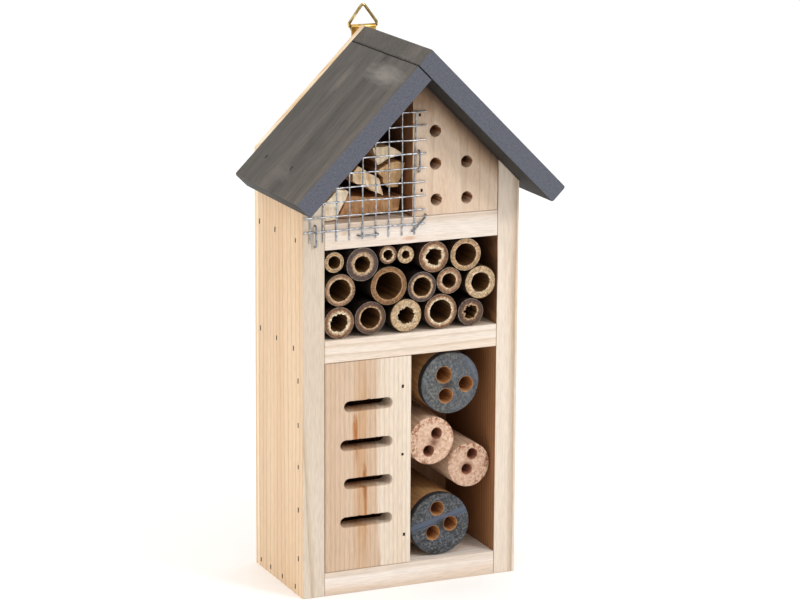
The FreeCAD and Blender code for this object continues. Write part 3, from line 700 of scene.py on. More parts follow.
# The left board's upper end stops a hair short of the right board, which leaves a dark seam.
SEAM = 0.25 * MM
seam_point = (-roof_step, 0.0, ridge_height + roof_step)
down_left = (-math.sqrt(0.5), 0.0, -math.sqrt(0.5))
WORN = (
    ((-13.5, -29.0, 238.0), (6.5, 23.0, 6.5), 0.85, "#7d7974"),
    ((-60.0, -16.0, 198.0), (7.0, 16.0, 7.0), 0.9, "#6e6a63"),
    ((-24.0, 4.0, 235.0), (14.0, 5.0, 14.0), 0.9, "#6f6962"),
)
ROOF_BOARDS = (
    ("roof_board_left", -1, left_eave, (-SEAM, ridge_height - SEAM), "left_slope",
     (-70.0, -40.0, 120.0), WORN, (seam_point, down_left)),
    ("roof_board_right", 1, right_eave, (-roof_step, ridge_height + roof_step), "right_slope",
     (64.0, 60.0, 130.0), (), (seam_point, down_left)),
)
for node, sign, eave, upper_low, grain, pith, worn, seam in ROOF_BOARDS:
    low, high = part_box(node)
    outline = roof_outline(sign, eave, upper_low)
    stain = roof_stain(node + "_stain", grain, pith, worn, seam)
    roof = sawn_board(node + "_stained", outline, low.y, high.y, stain, edge=ROOF_EDGE)
    take_over(roof, [node])
    print(roof.name, "from the eave at", round(eave / MM, 1), "mm")

# %% [markdown]
# ## Bamboo tubes
#
# Bamboo is a grass. A sawn cane shows a pale wall, full of dark dots where bundles of fibre run
# along it, ever denser towards a hard, thin skin. In many of these canes the outer half of the wall
# is stained purple-brown and the inner half is straw-coloured. The bore is lined with papery pith,
# ragged in some. Each cane is made as rings of points: up the bore, across the sawn end and back
# along the skin. A value stored on the points, from 0 at the bore to 1 at the skin, tells the
# material where in the wall it is, however ragged the bore.

# %% Bamboo material


def bamboo(name, layers, bore_colour="#80592f"):
    """Sawn bamboo. layers are colours of the wall from 0 at the bore to 1, the skin's outside."""
    material, tree, shader = new_material(name)
    wall = add_node(tree, "Attribute", attribute_name="wall").outputs["Fac"]
    depth = add_node(tree, "Attribute", attribute_name="depth").outputs["Fac"]
    place = add_node(tree, "TexCoord").outputs["Object"]
    cloudy = add_node(tree, "TexNoise", {"Vector": place, "Scale": 380.0, "Detail": 5.0,
                                         "Roughness": 0.65})
    cloud = add_node(tree, "Math", {0: cloudy.outputs[0], 1: 0.5, 2: -0.25},
                     operation="MULTIPLY_ADD")
    tapered = add_node(tree, "ValToRGB", {0: wall}, stops=[
        (0.05, grey(0.0)), (0.2, grey(1.0)), (0.8, grey(1.0)), (0.93, grey(0.0))])
    shift = add_node(tree, "Math", {0: cloud.outputs[0], 1: tapered.outputs[0]},
                     operation="MULTIPLY")
    level = add_node(tree, "Math", {0: wall, 1: shift.outputs[0]}, operation="ADD")
    across = add_node(tree, "ValToRGB", {0: level.outputs[0]}, stops=[
        (place_in_wall, linear(colour)) for place_in_wall, colour in layers])
    flat = add_node(tree, "Mapping", {"Vector": place, "Scale": (1.0, 0.02, 1.0)})
    bundles = add_node(tree, "TexVoronoi", {"Vector": flat.outputs[0], "Scale": 1250.0})
    dots = add_node(tree, "ValToRGB", {0: bundles.outputs["Distance"]}, stops=[
        (0.12, grey(0.22)), (0.5, grey(1.0))])
    dotted = add_node(tree, "Mix", {0: 0.8, 6: across.outputs[0], 7: dots.outputs[0]},
                      data_type="RGBA", blend_type="MULTIPLY").outputs[2]
    grime = add_node(tree, "TexNoise", {"Vector": place, "Scale": 900.0, "Detail": 3.0,
                                        "Roughness": 0.7})
    dirt = add_node(tree, "ValToRGB", {0: grime.outputs[0]}, stops=[
        (0.4, grey(0.55)), (0.55, grey(1.0)), (0.68, grey(1.2))])
    dotted = add_node(tree, "Mix", {0: 1.0, 6: dotted, 7: dirt.outputs[0]}, data_type="RGBA",
                      blend_type="MULTIPLY").outputs[2]
    inside = add_node(tree, "ValToRGB", {0: depth}, stops=[(0.0, grey(0.0)), (0.02, grey(1.0))])
    lined = add_node(tree, "TexNoise", {"Vector": flat.outputs[0], "Scale": 900.0, "Detail": 3.0})
    lining = add_node(tree, "ValToRGB", {0: lined.outputs[0]}, stops=[
        (0.3, linear("#4a2f18")), (0.7, linear(bore_colour))])
    colour = add_node(tree, "Mix", {0: inside.outputs[0], 6: dotted, 7: lining.outputs[0]},
                      data_type="RGBA").outputs[2]
    tree.links.new(colour, shader.inputs["Base Color"])
    relief = add_node(tree, "Math", {0: bundles.outputs["Distance"], 1: cloudy.outputs[0]},
                      operation="ADD")
    bump = add_node(tree, "Bump", {"Strength": 0.6, "Distance": 0.18 * MM,
                                   "Height": relief.outputs[0]})
    tree.links.new(bump.outputs[0], shader.inputs["Normal"])
    shader.inputs["Roughness"].default_value = 0.6
    return material


# In all canes but the pale one, the paler stop just inside the skin is a painted highlight along
# the sawn rim.
CANES = {
    "tan": bamboo("bamboo_tan", (
        (0.0, "#7b5c3a"), (0.05, "#dcc39e"), (0.25, "#c09a70"), (0.85, "#ab885f"),
        (0.94, "#d3bd9c"), (1.0, "#33220f"))),
    "purple": bamboo("bamboo_purple", (
        (0.0, "#7a5836"), (0.05, "#d6b68e"), (0.36, "#b39170"), (0.5, "#5c453c"), (0.9, "#423029"),
        (0.955, "#a08d7c"), (1.0, "#23160e"))),
    "dark": bamboo("bamboo_dark", (
        (0.0, "#7a5836"), (0.05, "#d2b08a"), (0.2, "#b08c68"), (0.34, "#6b4a32"), (0.9, "#482f20"),
        (0.955, "#a4907c"), (1.0, "#23160e"))),
    "brown": bamboo("bamboo_brown", (
        (0.0, "#8a6844"), (0.05, "#ecdcc0"), (0.34, "#d3b28a"), (0.58, "#8f623f"), (0.9, "#6a452b"),
        (0.955, "#b39c80"), (1.0, "#3a2213"))),
    "pink": bamboo("bamboo_pinkish", (
        (0.0, "#7a5836"), (0.05, "#dcc09a"), (0.3, "#bb9470"), (0.6, "#96704f"), (0.9, "#7b573d"),
        (0.955, "#b89f84"), (1.0, "#281a0e"))),
    "pale": bamboo("bamboo_pale", (
        (0.0, "#7b5c3a"), (0.05, "#d8bf9c"), (0.5, "#c9aa82"), (0.88, "#c2a27a"),
        (0.955, "#9d8263"), (1.0, "#33230f"))),
    "amber": bamboo("bamboo_amber", (
        (0.0, "#5f4325"), (0.05, "#b9966c"), (0.3, "#94673a"), (0.88, "#80562d"),
        (0.955, "#b3946a"), (1.0, "#2a1b0c"))),
}
print("canes:", sorted(CANES))

# %% Bamboo tube


CANE_SIDES = 72
SKIN_LOW, SKIN_SWING = 0.988, 0.012
SAW_CHIPS = 0.12 * MM


def ring_of_points(radii, y, centre_x, centre_z):
    """A ring of points round an axis that runs back, one for each radius."""
    points = []
    for step, radius in enumerate(radii):
        turn = FULL_TURN * step / len(radii)
        points.append((centre_x + radius * math.cos(turn), y, centre_z + radius * math.sin(turn)))
    return points


def skin_rings(rings, closed):
    """Quads between neighbouring rings of points; closed joins the last ring to the first."""
    count = len(rings[0])
    faces = []
    pairs = len(rings) if closed else len(rings) - 1
    for ring in range(pairs):
        other = (ring + 1) % len(rings)
        for step in range(count):
            after = (step + 1) % count
            faces.append((ring * count + step, ring * count + after,
                          other * count + after, other * count + step))
    return faces


def cane(name, node, material, ragged, seed):
    """A length of bamboo in place of its plain tube, with the bore's raggedness in millimetres."""
    low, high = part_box(node)
    centre_x, centre_z = (low.x + high.x) / 2, (low.z + high.z) / 2
    radius = (high.x - low.x) / 2
    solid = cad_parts[node].data
    bore = min(math.hypot(v.co.x - centre_x, v.co.z - centre_z) for v in solid.vertices)
    skins, bores = [], []
    for step in range(CANE_SIDES):
        turn = FULL_TURN * step / CANE_SIDES
        spot = Vector((math.cos(turn), math.sin(turn), seed * 7.3))
        skins.append(radius * (SKIN_LOW + SKIN_SWING * noise.noise(spot * 1.2)))
        coarse = noise.noise(spot * 2.2) * ragged
        fine = noise.noise(spot * 7.0) * ragged * 0.7
        bores.append(bore + (coarse + fine) * MM)
    rings, walls, depths = [], [], []

    def add_ring(share, y, depth):
        """One ring part of the way through the wall."""
        radii = [inner + (outer - inner) * share for inner, outer in zip(bores, skins)]
        ring = ring_of_points(radii, y, centre_x, centre_z)
        if depth == 0 and 0 < share < 1:
            ring = [(x, back + SAW_CHIPS * noise.noise(Vector((x, seed, z)) * 1400), z)
                    for x, back, z in ring]
        rings.append(ring)
        walls.append(share)
        depths.append(depth)

    length = high.y - low.y
    for part in (1.0, 0.75, 0.5, 0.25, 0.1, 0.03):
        add_ring(0.0, low.y + length * part, part)
    add_ring(0.0, low.y + 0.35 * MM, 0.0)
    for share in (0.05, 0.2, 0.35, 0.5, 0.65, 0.8, 0.93):
        add_ring(share, low.y + 0.12 * MM, 0.0)
    add_ring(0.985, low.y + 0.2 * MM, 0.0)
    for part in (0.012, 0.1, 0.3, 0.6, 0.985):
        add_ring(1.0, low.y + length * part, 0.0)
    add_ring(0.97, high.y, 0.0)
    mesh = bpy.data.meshes.new(name)
    mesh.from_pydata([point for ring in rings for point in ring], [], skin_rings(rings, True))
    for label, values in (("wall", walls), ("depth", depths)):
        attribute = mesh.attributes.new(label, "FLOAT", "POINT")
        attribute.data.foreach_set("value", np.repeat(values, CANE_SIDES).astype(np.float32))
    piece = mesh_piece(name, mesh, [material], smooth_angle=50)
    return take_over(piece, [node])


# The finish and the raggedness of each cane's bore, in millimetres, row by row from the top left.
CANE_STYLES = (
    ("tan", 0.15), ("purple", 0.2), ("brown", 0.45), ("pale", 0.2), ("brown", 0.9), ("tan", 0.2),
    ("pink", 0.2), ("amber", 0.2), ("purple", 0.2), ("pink", 0.25), ("pale", 0.25),
    ("brown", 0.8), ("dark", 0.2), ("pale", 0.8), ("brown", 0.2), ("dark", 1.1),
)
for number, (style, ragged) in enumerate(CANE_STYLES, start=1):
    node = f"bamboo_tube_{number:02d}"
    tube = cane(node + "_cane", node, CANES[style], ragged, number)
print("canes made:", len(CANE_STYLES), "with", len(tube.data.vertices), "points each")

# %% [markdown]
# ## Drilled logs
#
# Four short lengths of a straight young trunk are packed into the tall bay, sawn square and drilled
# for nesting. Two had their ends dipped in the roof's stain, which ran a few millimetres down
# their sides and left the saw's fine scoring and a broad band or two showing; inside the bores the
# wood is bare. The other two are peeled and bare: their end grain shows rings round a small dark
# pith, and the saw left their rims crumbly. A log is built from rings of points, one after another
# down its side and down each bore, with a narrow slanting ring at each rim for the worn arris. The
# flat end is then filled between those rims.

# %% Log materials

log_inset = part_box("log_top")[0].y - front_y
BAND_REACH = 15 * MM


def log_side(name, wood, shade, stain=None, stain_depth=4.0):
    """Peeled wood with the grain running back, stained for a few millimetres from its front end."""
    material, tree, shader = new_material(name)
    place = add_node(tree, "TexCoord").outputs["Object"]
    long_grain = add_node(tree, "Mapping", {"Vector": place, "Scale": (1.0, 0.07, 1.0)})
    fibres = add_node(tree, "TexNoise", {"Vector": long_grain.outputs[0], "Scale": 900.0,
                                         "Detail": 4.0, "Roughness": 0.6})
    colour = add_node(tree, "ValToRGB", {0: fibres.outputs[0]}, stops=[
        (0.3, linear(shade)), (0.6, linear(wood))]).outputs[0]
    if stain:
        depth = add_node(tree, "SeparateXYZ", {0: place}).outputs["Y"]
        waver = add_node(tree, "TexNoise", {"Vector": place, "Scale": 130.0, "Detail": 3.0})
        end = front_y + log_inset + stain_depth * MM
        ragged = add_node(tree, "Math", {0: waver.outputs[0], 1: 2.2 * MM, 2: end - 1.1 * MM},
                          operation="MULTIPLY_ADD").outputs[0]
        beyond = add_node(tree, "Math", {0: depth, 1: ragged},
                          operation="GREATER_THAN").outputs[0]
        colour = add_node(tree, "Mix", {0: beyond, 6: linear(stain), 7: colour},
                          data_type="RGBA").outputs[2]
    tree.links.new(colour, shader.inputs["Base Color"])
    bump = add_node(tree, "Bump", {"Strength": 0.4, "Distance": 0.2 * MM,
                                   "Height": fibres.outputs[0]})
    tree.links.new(bump.outputs[0], shader.inputs["Normal"])
    shader.inputs["Roughness"].default_value = 0.7
    return material


def log_end(name, pith, tones, patches, crumbs, bands=None, ring_depth=0.9, rim=None):
    """A sawn end: speckle between three tones, patches of a fourth, and rings of a given depth.
    bands: the angle that the saw's bands and scoring rise at, then places across the face from 0
    to 1 and how much of the patches' colour the bands show there.
    rim: the radius in metres where the saw left the edge crumbly, and the crumbs' colour."""
    material, tree, shader = new_material(name)
    place = add_node(tree, "TexCoord").outputs["Object"]
    wave = add_node(tree, "TexNoise", {"Vector": place, "Scale": 90.0, "Detail": 3.0})
    centred = add_node(tree, "VectorMath", {0: wave.outputs["Color"], 1: (0.5, 0.5, 0.5)},
                       operation="SUBTRACT")
    shift = add_node(tree, "VectorMath", {0: centred.outputs[0], "Scale": 3.0 * MM},
                     operation="SCALE")
    moved = add_node(tree, "VectorMath", {0: place, 1: shift.outputs[0]}, operation="ADD")
    from_pith = add_node(tree, "VectorMath", {0: moved.outputs[0], 1: pith},
                         operation="SUBTRACT")
    flat = add_node(tree, "VectorMath", {0: from_pith.outputs[0], 1: (1.0, 0.0, 1.0)},
                    operation="MULTIPLY").outputs[0]
    distance = add_node(tree, "VectorMath", {0: flat}, operation="LENGTH").outputs["Value"]
    years = add_node(tree, "Math", {0: distance, 1: 1.9 * MM}, operation="DIVIDE")
    rings = add_node(tree, "Math", {0: years.outputs[0]}, operation="FRACT").outputs[0]
    ring_tone = add_node(tree, "ValToRGB", {0: rings}, stops=[
        (0.0, grey(1.0)), (0.55, grey(0.99)), (0.9, grey(ring_depth)), (1.0, grey(1.0))])
    speck = add_node(tree, "TexNoise", {"Vector": place, "Scale": 1150.0, "Detail": 4.0,
                                        "Roughness": 0.75}).outputs[0]
    crumb = add_node(tree, "TexNoise", {"Vector": place, "Scale": 620.0, "Detail": 4.0,
                                        "Roughness": 0.7}).outputs[0]
    mixed = add_node(tree, "Mix", {0: crumbs, 2: speck, 3: crumb},
                     data_type="FLOAT").outputs[0]
    tone = add_node(tree, "ValToRGB", {0: mixed}, stops=[
        (0.4, linear(tones[0])), (0.5, linear(tones[1])), (0.6, linear(tones[2]))]).outputs[0]
    soaked = add_node(tree, "TexNoise", {"Vector": place, "Scale": 85.0, "Detail": 3.0})
    patch_mask = add_node(tree, "ValToRGB", {0: soaked.outputs[0]}, stops=[
        (0.44, grey(0.0)), (0.6, grey(1.0))]).outputs[0]
    amount = add_node(tree, "Math", {0: patch_mask, 1: patches[1]},
                      operation="MULTIPLY").outputs[0]
    patched = add_node(tree, "Mix", {0: amount, 6: tone, 7: linear(patches[0])},
                       data_type="RGBA").outputs[2]
    if bands:
        rise, stripes = bands
        upward = (-math.sin(rise), 0.0, math.cos(rise))
        height = add_node(tree, "VectorMath", {0: flat, 1: upward}, operation="DOT_PRODUCT")
        share = add_node(tree, "MapRange", {"Value": height.outputs["Value"],
                                            "From Min": -BAND_REACH, "From Max": BAND_REACH})
        stripe = add_node(tree, "ValToRGB", {0: share.outputs[0]}, stops=[
            (spot, grey(shown)) for spot, shown in stripes])
        patched = add_node(tree, "Mix", {0: stripe.outputs[0], 6: patched, 7: linear(patches[0])},
                           data_type="RGBA").outputs[2]
        turned = add_node(tree, "Mapping", {"Vector": flat, "Rotation": (0.0, rise, 0.0)})
        drawn = add_node(tree, "Mapping", {"Vector": turned.outputs[0], "Scale": (0.03, 1.0, 1.0)})
        scores = add_node(tree, "TexNoise", {"Vector": drawn.outputs[0], "Scale": 620.0,
                                             "Detail": 2.0})
        scored = add_node(tree, "ValToRGB", {0: scores.outputs[0]}, stops=[
            (0.36, grey(0.55)), (0.46, grey(1.0)), (0.58, grey(1.0)), (0.66, grey(1.5))])
        patched = add_node(tree, "Mix", {0: 0.8, 6: patched, 7: scored.outputs[0]},
                           data_type="RGBA", blend_type="MULTIPLY").outputs[2]
    if rim:
        radius, crumb_colour = rim
        outward = add_node(tree, "Math", {0: distance, 1: radius}, operation="DIVIDE")
        near_rim = add_node(tree, "ValToRGB", {0: outward.outputs[0]}, stops=[
            (0.72, grey(0.0)), (0.95, grey(1.0))])
        loose = add_node(tree, "ValToRGB", {0: crumb}, stops=[
            (0.44, grey(1.0)), (0.52, grey(0.0))])
        where = add_node(tree, "Math", {0: near_rim.outputs[0], 1: loose.outputs[0]},
                         operation="MULTIPLY")
        patched = add_node(tree, "Mix", {0: where.outputs[0], 6: patched,
                                         7: linear(crumb_colour)},
                           data_type="RGBA", blend_type="MULTIPLY").outputs[2]
    ringed = add_node(tree, "Mix", {0: 1.0, 6: patched, 7: ring_tone.outputs[0]},
                      data_type="RGBA", blend_type="MULTIPLY").outputs[2]
    heart = add_node(tree, "ValToRGB", {0: distance}, stops=[
        (0.0, linear("#8a6049")), (0.0008, linear("#b58c72")), (0.0014, grey(1.0))])
    colour = add_node(tree, "Mix", {0: 1.0, 6: ringed, 7: heart.outputs[0]}, data_type="RGBA",
                      blend_type="MULTIPLY").outputs[2]
    tree.links.new(colour, shader.inputs["Base Color"])
    bump = add_node(tree, "Bump", {"Strength": 0.8, "Distance": 0.35 * MM, "Height": mixed})
    tree.links.new(bump.outputs[0], shader.inputs["Normal"])
    shader.inputs["Roughness"].default_value = 0.75
    return material


bore_wood = log_side("log_bore_wood", "#b98552", "#8a5a32")
peeled_bore_wood = log_side("log_bore_wood_reddish", "#a8745a", "#7c4a35")
peeled_wood = log_side("log_side_peeled", "#d8b99e", "#b18f77")
stained_wood = log_side("log_side_stained_end", "#c09462", "#916a40", stain="#26272a")
print("log fronts lie", round(log_inset / MM, 1), "mm in")

# %% Log builder


def add_wall(bm, rings, material_index):
    """A wall of quads through rings of points; returns its first and last rows of vertices."""
    rows = []
    for ring in rings:
        rows.append([bm.verts.new(point) for point in ring])
    for row, following in zip(rows, rows[1:]):
        for step, vert in enumerate(row):
            after = (step + 1) % len(row)
            face = bm.faces.new((vert, row[after], following[after], following[step]))
            face.material_index = material_index
    return rows[0], rows[-1]


def mesh_from_bmesh(name, bm):
    """The mesh of a finished bmesh, its faces turned outwards."""
    bmesh.ops.recalc_face_normals(bm, faces=bm.faces)
    mesh = bpy.data.meshes.new(name)
    bm.to_mesh(mesh)
    bm.free()
    return mesh


LOG_SIDES = 96
BORE_SIDES = 40
ARRIS = 0.5 * MM
LOG_BORE_DEPTH = 36.0 * MM


def uneven(radius, share, count, seed, centre):
    """Radii round a ring that wander by a share of its radius."""
    radii = []
    for step in range(count):
        turn = FULL_TURN * step / count
        spot = Vector((math.cos(turn) * 1.4, math.sin(turn) * 1.4, seed))
        radii.append(radius * (centre + share * noise.noise(spot)))
    return radii


def drilled_log(name, node, bores, materials, seed):
    """A log in place of its plain node, with its side, end and bore materials."""
    low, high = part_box(node)
    centre_x, centre_z = (low.x + high.x) / 2, (low.z + high.z) / 2
    radius = (high.x - low.x) / 2
    bm = bmesh.new()
    skin = uneven(radius, 0.012, LOG_SIDES, seed, 0.986)
    side = []
    for inset, back in ((ARRIS, 0.0), (ARRIS * 0.3, ARRIS * 0.3), (0.0, ARRIS)):
        side.append(ring_of_points([r - inset for r in skin], low.y + back, centre_x, centre_z))
    for share in (0.25, 0.5, 0.75, 1.0):
        bent = []
        for step, r in enumerate(skin):
            dent = noise.noise(Vector((share * 3, step / 9, seed)))
            bent.append(min(r + 0.15 * MM * dent, radius))
        side.append(ring_of_points(bent, low.y + (high.y - low.y) * share, centre_x, centre_z))
    rims = [add_wall(bm, side[:3], 1)[0]]
    bm.faces.new(add_wall(bm, side[2:], 0)[1])
    for number, (across, up, bore) in enumerate(bores):
        hole = uneven(bore * MM, 0.05, BORE_SIDES, seed * 5 + number, 1.0)
        place_x, place_z = centre_x + across * MM, centre_z + up * MM
        rings = []
        for spread, back in ((0.35 * MM, 0.0), (0.1 * MM, 0.2 * MM), (0.0, 0.6 * MM),
                             (0.0, 12 * MM), (0.0, LOG_BORE_DEPTH - 1.5 * MM),
                             (-bore * 0.7 * MM, LOG_BORE_DEPTH)):
            rings.append(ring_of_points([r + spread for r in hole], low.y + back,
                                        place_x, place_z))
        first, last = add_wall(bm, rings, 2)
        bm.faces.new(last).material_index = 2
        rims.append(first)
    edges = []
    for rim in rims:
        for step, vert in enumerate(rim):
            edges.append(bm.edges.get((vert, rim[(step + 1) % len(rim)])))
    filled = bmesh.ops.triangle_fill(bm, use_beauty=True, edges=edges, normal=(0.0, -1.0, 0.0))
    for item in filled["geom"]:
        if isinstance(item, bmesh.types.BMFace):
            item.material_index = 1
    return mesh_piece(name, mesh_from_bmesh(name, bm), materials)


# Each bore's place across and up from the log's axis, and its radius, in millimetres.
LOG_BORES = {
    "log_top": ((-3.2, 4.1, 3.7), (7.9, -1.2, 3.4), (-2.2, -5.8, 3.3)),
    "log_upper_middle": ((2.5, 3.3, 2.5), (-1.4, -4.6, 2.5)),
    "log_lower_middle": ((1.7, 5.1, 2.4), (-1.0, -1.9, 2.4)),
    "log_bottom": ((-1.4, 7.6, 3.2), (5.2, -0.3, 3.2), (-3.6, -3.9, 3.2)),
}
# Where each stained end shows the saw's bands, from its lowest band to its highest.
TOP_BANDS = ((0.0, 0.7), (0.07, 0.7), (0.12, 0.0), (0.42, 0.0), (0.5, 0.2), (0.56, 0.0),
             (0.88, 0.0), (0.92, 0.6), (0.96, 0.6))
BOTTOM_BANDS = ((0.0, 0.0), (0.255, 0.0), (0.262, 0.7), (0.275, 0.0), (0.545, 0.0), (0.56, 0.85),
                (0.65, 0.95), (0.665, 0.0))
# Three tones, the patches' colour and strength, how crumbly the end is, its saw bands with the
# angle they rise at, and how much of the light a ring's dark edge leaves.
LOG_FINISH = {
    "log_top": (("#34373a", "#555757", "#777772"), ("#525a67", 0.35), 0.3,
                (math.radians(-62), TOP_BANDS), 0.93),
    "log_upper_middle": (("#ad8569", "#d0ad93", "#e3c6ae"), ("#d3b098", 0.3), 0.5, None, 0.93),
    "log_lower_middle": (("#a37f65", "#c5a188", "#dabca5"), ("#c9a68f", 0.3), 0.5, None, 0.92),
    "log_bottom": (("#202224", "#3d3f41", "#6a6c6e"), ("#4e586a", 0.2), 0.3,
                   (math.radians(15), BOTTOM_BANDS), 0.95),
}
for seed, (node, bores) in enumerate(LOG_BORES.items(), start=1):
    low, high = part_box(node)
    middle = (low + high) / 2
    pith = (middle.x + 1.2 * MM * (-1) ** seed, 0.0, middle.z - 0.8 * MM)
    tones, patches, crumbs, bands, ring_depth = LOG_FINISH[node]
    stained = node in ("log_top", "log_bottom")
    rim = None if stained else ((high.x - low.x) / 2, "#c49f84")
    end = log_end(node + "_end_grain", pith, tones, patches, crumbs, bands, ring_depth, rim)
    side = stained_wood if stained else peeled_wood
    bore_side = bore_wood if stained else peeled_bore_wood
    log = drilled_log(node + "_sawn", node, bores, [side, end, bore_side], seed)
    take_over(log, [node])
    print(log.name, len(log.data.vertices), "points,", len(bores), "bores")

# %% [markdown]
# ## Split wood
#
# Behind the mesh lie pieces of split branch for beetles and lacewings. A blade opens wood along
# its grain, so the long faces are flat with torn fibres, while the sawn ends are rough. Each piece
# starts from its solid's outline. The outline is cut into many short steps, repeated along the
# piece, and every point is moved in a little by noise, more across the grain than along it.

# %% Split wood material


def split_wood(name, light, dark, end_tone, end_shade, end_angle):
    """Torn long faces with fibres running back, and a rough end face with streaks at an angle."""
    material, tree, shader = new_material(name)
    place = add_node(tree, "TexCoord").outputs["Object"]
    normal = add_node(tree, "NewGeometry").outputs["Normal"]
    facing = add_node(tree, "SeparateXYZ", {0: normal}).outputs["Y"]
    towards = add_node(tree, "Math", {0: facing, 1: -1.0}, operation="MULTIPLY").outputs[0]
    end_mask = add_node(tree, "ValToRGB", {0: towards}, stops=[
        (0.55, grey(0.0)), (0.8, grey(1.0))])
    long_grain = add_node(tree, "Mapping", {"Vector": place, "Scale": (1.0, 0.06, 1.0)})
    fibres = add_node(tree, "TexNoise", {"Vector": long_grain.outputs[0], "Scale": 800.0,
                                         "Detail": 5.0, "Roughness": 0.65})
    torn = add_node(tree, "ValToRGB", {0: fibres.outputs[0]}, stops=[
        (0.32, linear(dark)), (0.6, linear(light))])
    streak_place = add_node(tree, "Mapping", {"Vector": place, "Rotation": (0.0, end_angle, 0.0),
                                              "Scale": (1.0, 1.0, 0.14)})
    streaks = add_node(tree, "TexNoise", {"Vector": streak_place.outputs[0], "Scale": 520.0,
                                          "Detail": 4.0, "Roughness": 0.6})
    sawn = add_node(tree, "ValToRGB", {0: streaks.outputs[0]}, stops=[
        (0.34, linear(end_shade)), (0.58, linear(end_tone))])
    colour = add_node(tree, "Mix", {0: end_mask.outputs[0], 6: torn.outputs[0],
                                    7: sawn.outputs[0]}, data_type="RGBA").outputs[2]
    tree.links.new(colour, shader.inputs["Base Color"])
    relief = add_node(tree, "Math", {0: fibres.outputs[0], 1: streaks.outputs[0]}, operation="ADD")
    bump = add_node(tree, "Bump", {"Strength": 0.6, "Distance": 0.3 * MM,
                                   "Height": relief.outputs[0]})
    tree.links.new(bump.outputs[0], shader.inputs["Normal"])
    shader.inputs["Roughness"].default_value = 0.72
    return material


print("split wood material ready")

# %% Split wood pieces


def resampled(loop, spacing):
    """Points at an even spacing round a closed outline."""
    points = []
    for start, end in zip(loop, loop[1:] + loop[:1]):
        start, end = Vector(start), Vector(end)
        steps = max(1, round((end - start).length / spacing))
        points += [start.lerp(end, step / steps) for step in range(steps)]
    return points


OUTLINE_STEP = 1.1 * MM
END_ROUGHNESS = 0.35 * MM
TORN_DEPTH = 0.6 * MM


def split_piece(name, node, outline, material, seed, front_tilt):
    """A split piece in place of its plain node. front_tilt is how much its end leans, x then z."""
    low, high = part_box(node)
    loop = resampled([(across * MM, up * MM) for across, up in outline], OUTLINE_STEP)
    middle = sum(loop, Vector((0.0, 0.0))) / len(loop)
    length = high.y - low.y
    reach = max(abs(p.x - middle.x) for p in loop) * abs(front_tilt[0])
    reach += max(abs(p.y - middle.y) for p in loop) * abs(front_tilt[1]) + END_ROUGHNESS
    rings = []

    def add_ring(share, keep, sunk):
        """One ring at a share of the length, drawn in to a share of its size."""
        ring = []
        for point in loop:
            offset = point - middle
            broad = Vector((point.x / (5 * MM), share * 2.2, point.y / (5 * MM)))
            broad += Vector((seed, 0, 0))
            fine = Vector((point.x / (1.4 * MM), share * 9, point.y / (1.4 * MM)))
            drawn = TORN_DEPTH * (noise.noise(broad) + 0.45 * noise.noise(fine) + 0.75)
            kept = middle + offset * keep - offset.normalized() * drawn
            lean = (offset.x * front_tilt[0] + offset.y * front_tilt[1]) * (1 - share) * keep
            pit = noise.noise(Vector((kept.x / (1.1 * MM), seed, kept.y / (1.1 * MM))))
            rough = END_ROUGHNESS * pit if share == 0 else 0.0
            y = low.y + sunk + length * share + lean + reach + rough
            ring.append((kept.x, min(y, high.y), kept.y))
        rings.append(ring)

    for keep in (0.25, 0.5, 0.72, 0.88, 0.975):
        add_ring(0.0, keep, 0.0)
    add_ring(0.0, 1.0, 0.25 * MM)
    for share in (0.05, 0.12, 0.2, 0.3, 0.42, 0.55, 0.7, 0.85, 1.0):
        add_ring(share, 1.0, 0.0)
    bm = bmesh.new()
    for end in add_wall(bm, rings, 0):
        bm.faces.new(end)
    piece = mesh_piece(name, mesh_from_bmesh(name, bm), [material], smooth_angle=20)
    return take_over(piece, [node])


